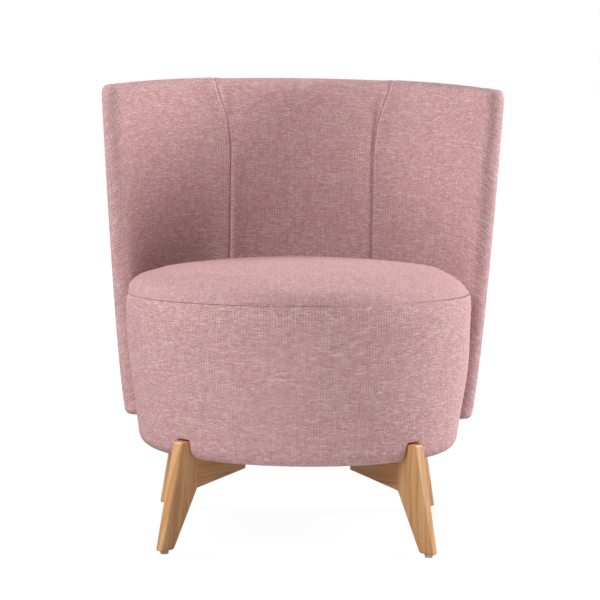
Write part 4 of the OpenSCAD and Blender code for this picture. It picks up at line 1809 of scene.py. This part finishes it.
@dataclass
class PhotoCamera:
    """The photograph's camera, in pixels of a frame 600 wide."""

    axis: float
    distance: float = 3.4
    height: float = 0.6603
    focal_px: float = 1938.0
    horizon_px: float = 155.1
    middle_px: float = 300.1
    roll: float = 0.8
    frame_px: float = 600.0
    sensor_mm: float = 36.0

    def build(self) -> None:
        """Puts the camera in front of the chair."""
        data = bpy.data.cameras.new("photo_camera")
        data.sensor_width = self.sensor_mm
        data.lens = self.focal_px * self.sensor_mm / self.frame_px
        data.clip_end = 50.0
        camera = add_object("photo_camera", data)
        pitch = math.atan((self.frame_px / 2 - self.horizon_px) / self.focal_px)
        yaw = math.atan((self.frame_px / 2 - self.middle_px) / self.focal_px)
        camera.matrix_world = (
            Matrix.Translation((0, self.axis - self.distance, self.height))
            @ Matrix.Rotation(-yaw, 4, "Z")
            @ Matrix.Rotation(math.pi / 2 - pitch, 4, "X")
            @ Matrix.Rotation(math.radians(self.roll), 4, "Z"))
        bpy.context.scene.camera = camera


@dataclass(frozen=True)
class SoftBox:
    """A square area light that looks at the chair."""

    name: str
    turn: float
    rise: float
    distance: float
    size: float
    watts: float

    def build(self, target: Vector) -> None:
        """Hangs the light: turned from the front towards +X and raised, in degrees.

        Args:
            target: The point that it looks at.
        """
        turn, rise = math.radians(self.turn), math.radians(self.rise)
        way = Vector((math.sin(turn) * math.cos(rise), -math.cos(turn) * math.cos(rise), math.sin(rise)))
        data = bpy.data.lights.new(self.name, "AREA")
        data.shape = "SQUARE"
        data.size = self.size
        data.energy = self.watts
        lamp = add_object(self.name, data)
        lamp.location = target + way * self.distance
        lamp.rotation_euler = (-way).to_track_quat("-Z", "Y").to_euler()


@dataclass
class Studio:
    """A plain pale floor, a white surround and soft lights."""

    floor_size: float = 40.0
    ambient: float = 0.02
    near_glow: float = 0.9
    glow: float = 1.06
    glow_reach: tuple[float, float] = (0.4, 1.8)
    target: tuple[float, float, float] = (0.0, 0.0, 0.4)
    boxes: tuple[SoftBox, ...] = (
        SoftBox("left_softbox", turn=-100.0, rise=38.0, distance=3.2, size=1.4, watts=58.0),
        SoftBox("right_softbox", turn=99.0, rise=25.0, distance=3.2, size=1.4, watts=119.0),
        SoftBox("front_softbox", turn=-30.0, rise=34.0, distance=3.2, size=1.6, watts=63.0),
    )

    def build(self) -> None:
        """Builds the studio."""
        scene = bpy.context.scene
        scene.view_settings.view_transform = "Standard"
        self.world(scene)
        self.floor()
        for box in self.boxes:
            box.build(Vector(self.target))

    def world(self, scene: bpy.types.Scene) -> None:
        """Lights the scene evenly and shows white behind it.

        Args:
            scene: The scene.
        """
        book = ShaderBook(bpy.data.worlds.new("studio_surround"))
        camera, glossy, clear = (book.node("LightPath", None, None, f"Is {kind} Ray")
                                 for kind in ("Camera", "Glossy", "Transmission"))
        level = book.step(camera.larger(glossy).larger(clear), 0.0, 1.0, self.ambient, 1.0)
        scene.world = book.close(book.node("Background", None, {
            "Color": (1.0, 1.0, 1.0, 1.0), "Strength": level}))

    def floor(self) -> None:
        """Lays a pale floor that shows white to the camera and keeps the chair's shadow."""
        corners = np.array([[-1, -1, 0], [1, -1, 0], [1, 1, 0], [-1, 1, 0]])
        book = ShaderBook("pale_floor")
        matte = book.node("BsdfDiffuse", None, {"Color": (0.8, 0.8, 0.8, 1.0)})
        glow = book.node("Emission", None, {"Color": (1.0, 1.0, 1.0, 1.0), "Strength": self.glow})
        path = book.node("LightPath", None, None, "Is Camera Ray")
        distance = book.node("VectorMath", {"operation": "LENGTH"}, {0: book.place()}, 1)
        share = book.step(distance, *self.glow_reach, self.near_glow, 1.0)
        pale = book.close(book.node("MixShader", None, {0: path * share, 1: matte, 2: glow}))
        make_object("studio_floor", corners * self.floor_size / 2, [(0, 1, 2, 3)], None, pale)


def main() -> None:
    """Builds the chair and its studio."""
    logging.basicConfig(level=logging.INFO, format="%(name)s: %(message)s")
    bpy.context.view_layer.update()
    finishes = Finishes.build()
    drum = SeatDrum(finishes)
    drum.build_top()
    drum.build_side()
    BackRest(finishes, drum).build()
    LegFrame(finishes, drum.axis).build()
    HiddenFrame(finishes, drum).build()
    Studio().build()
    PhotoCamera(drum.axis).build()


if __name__ == "__main__":
    main()
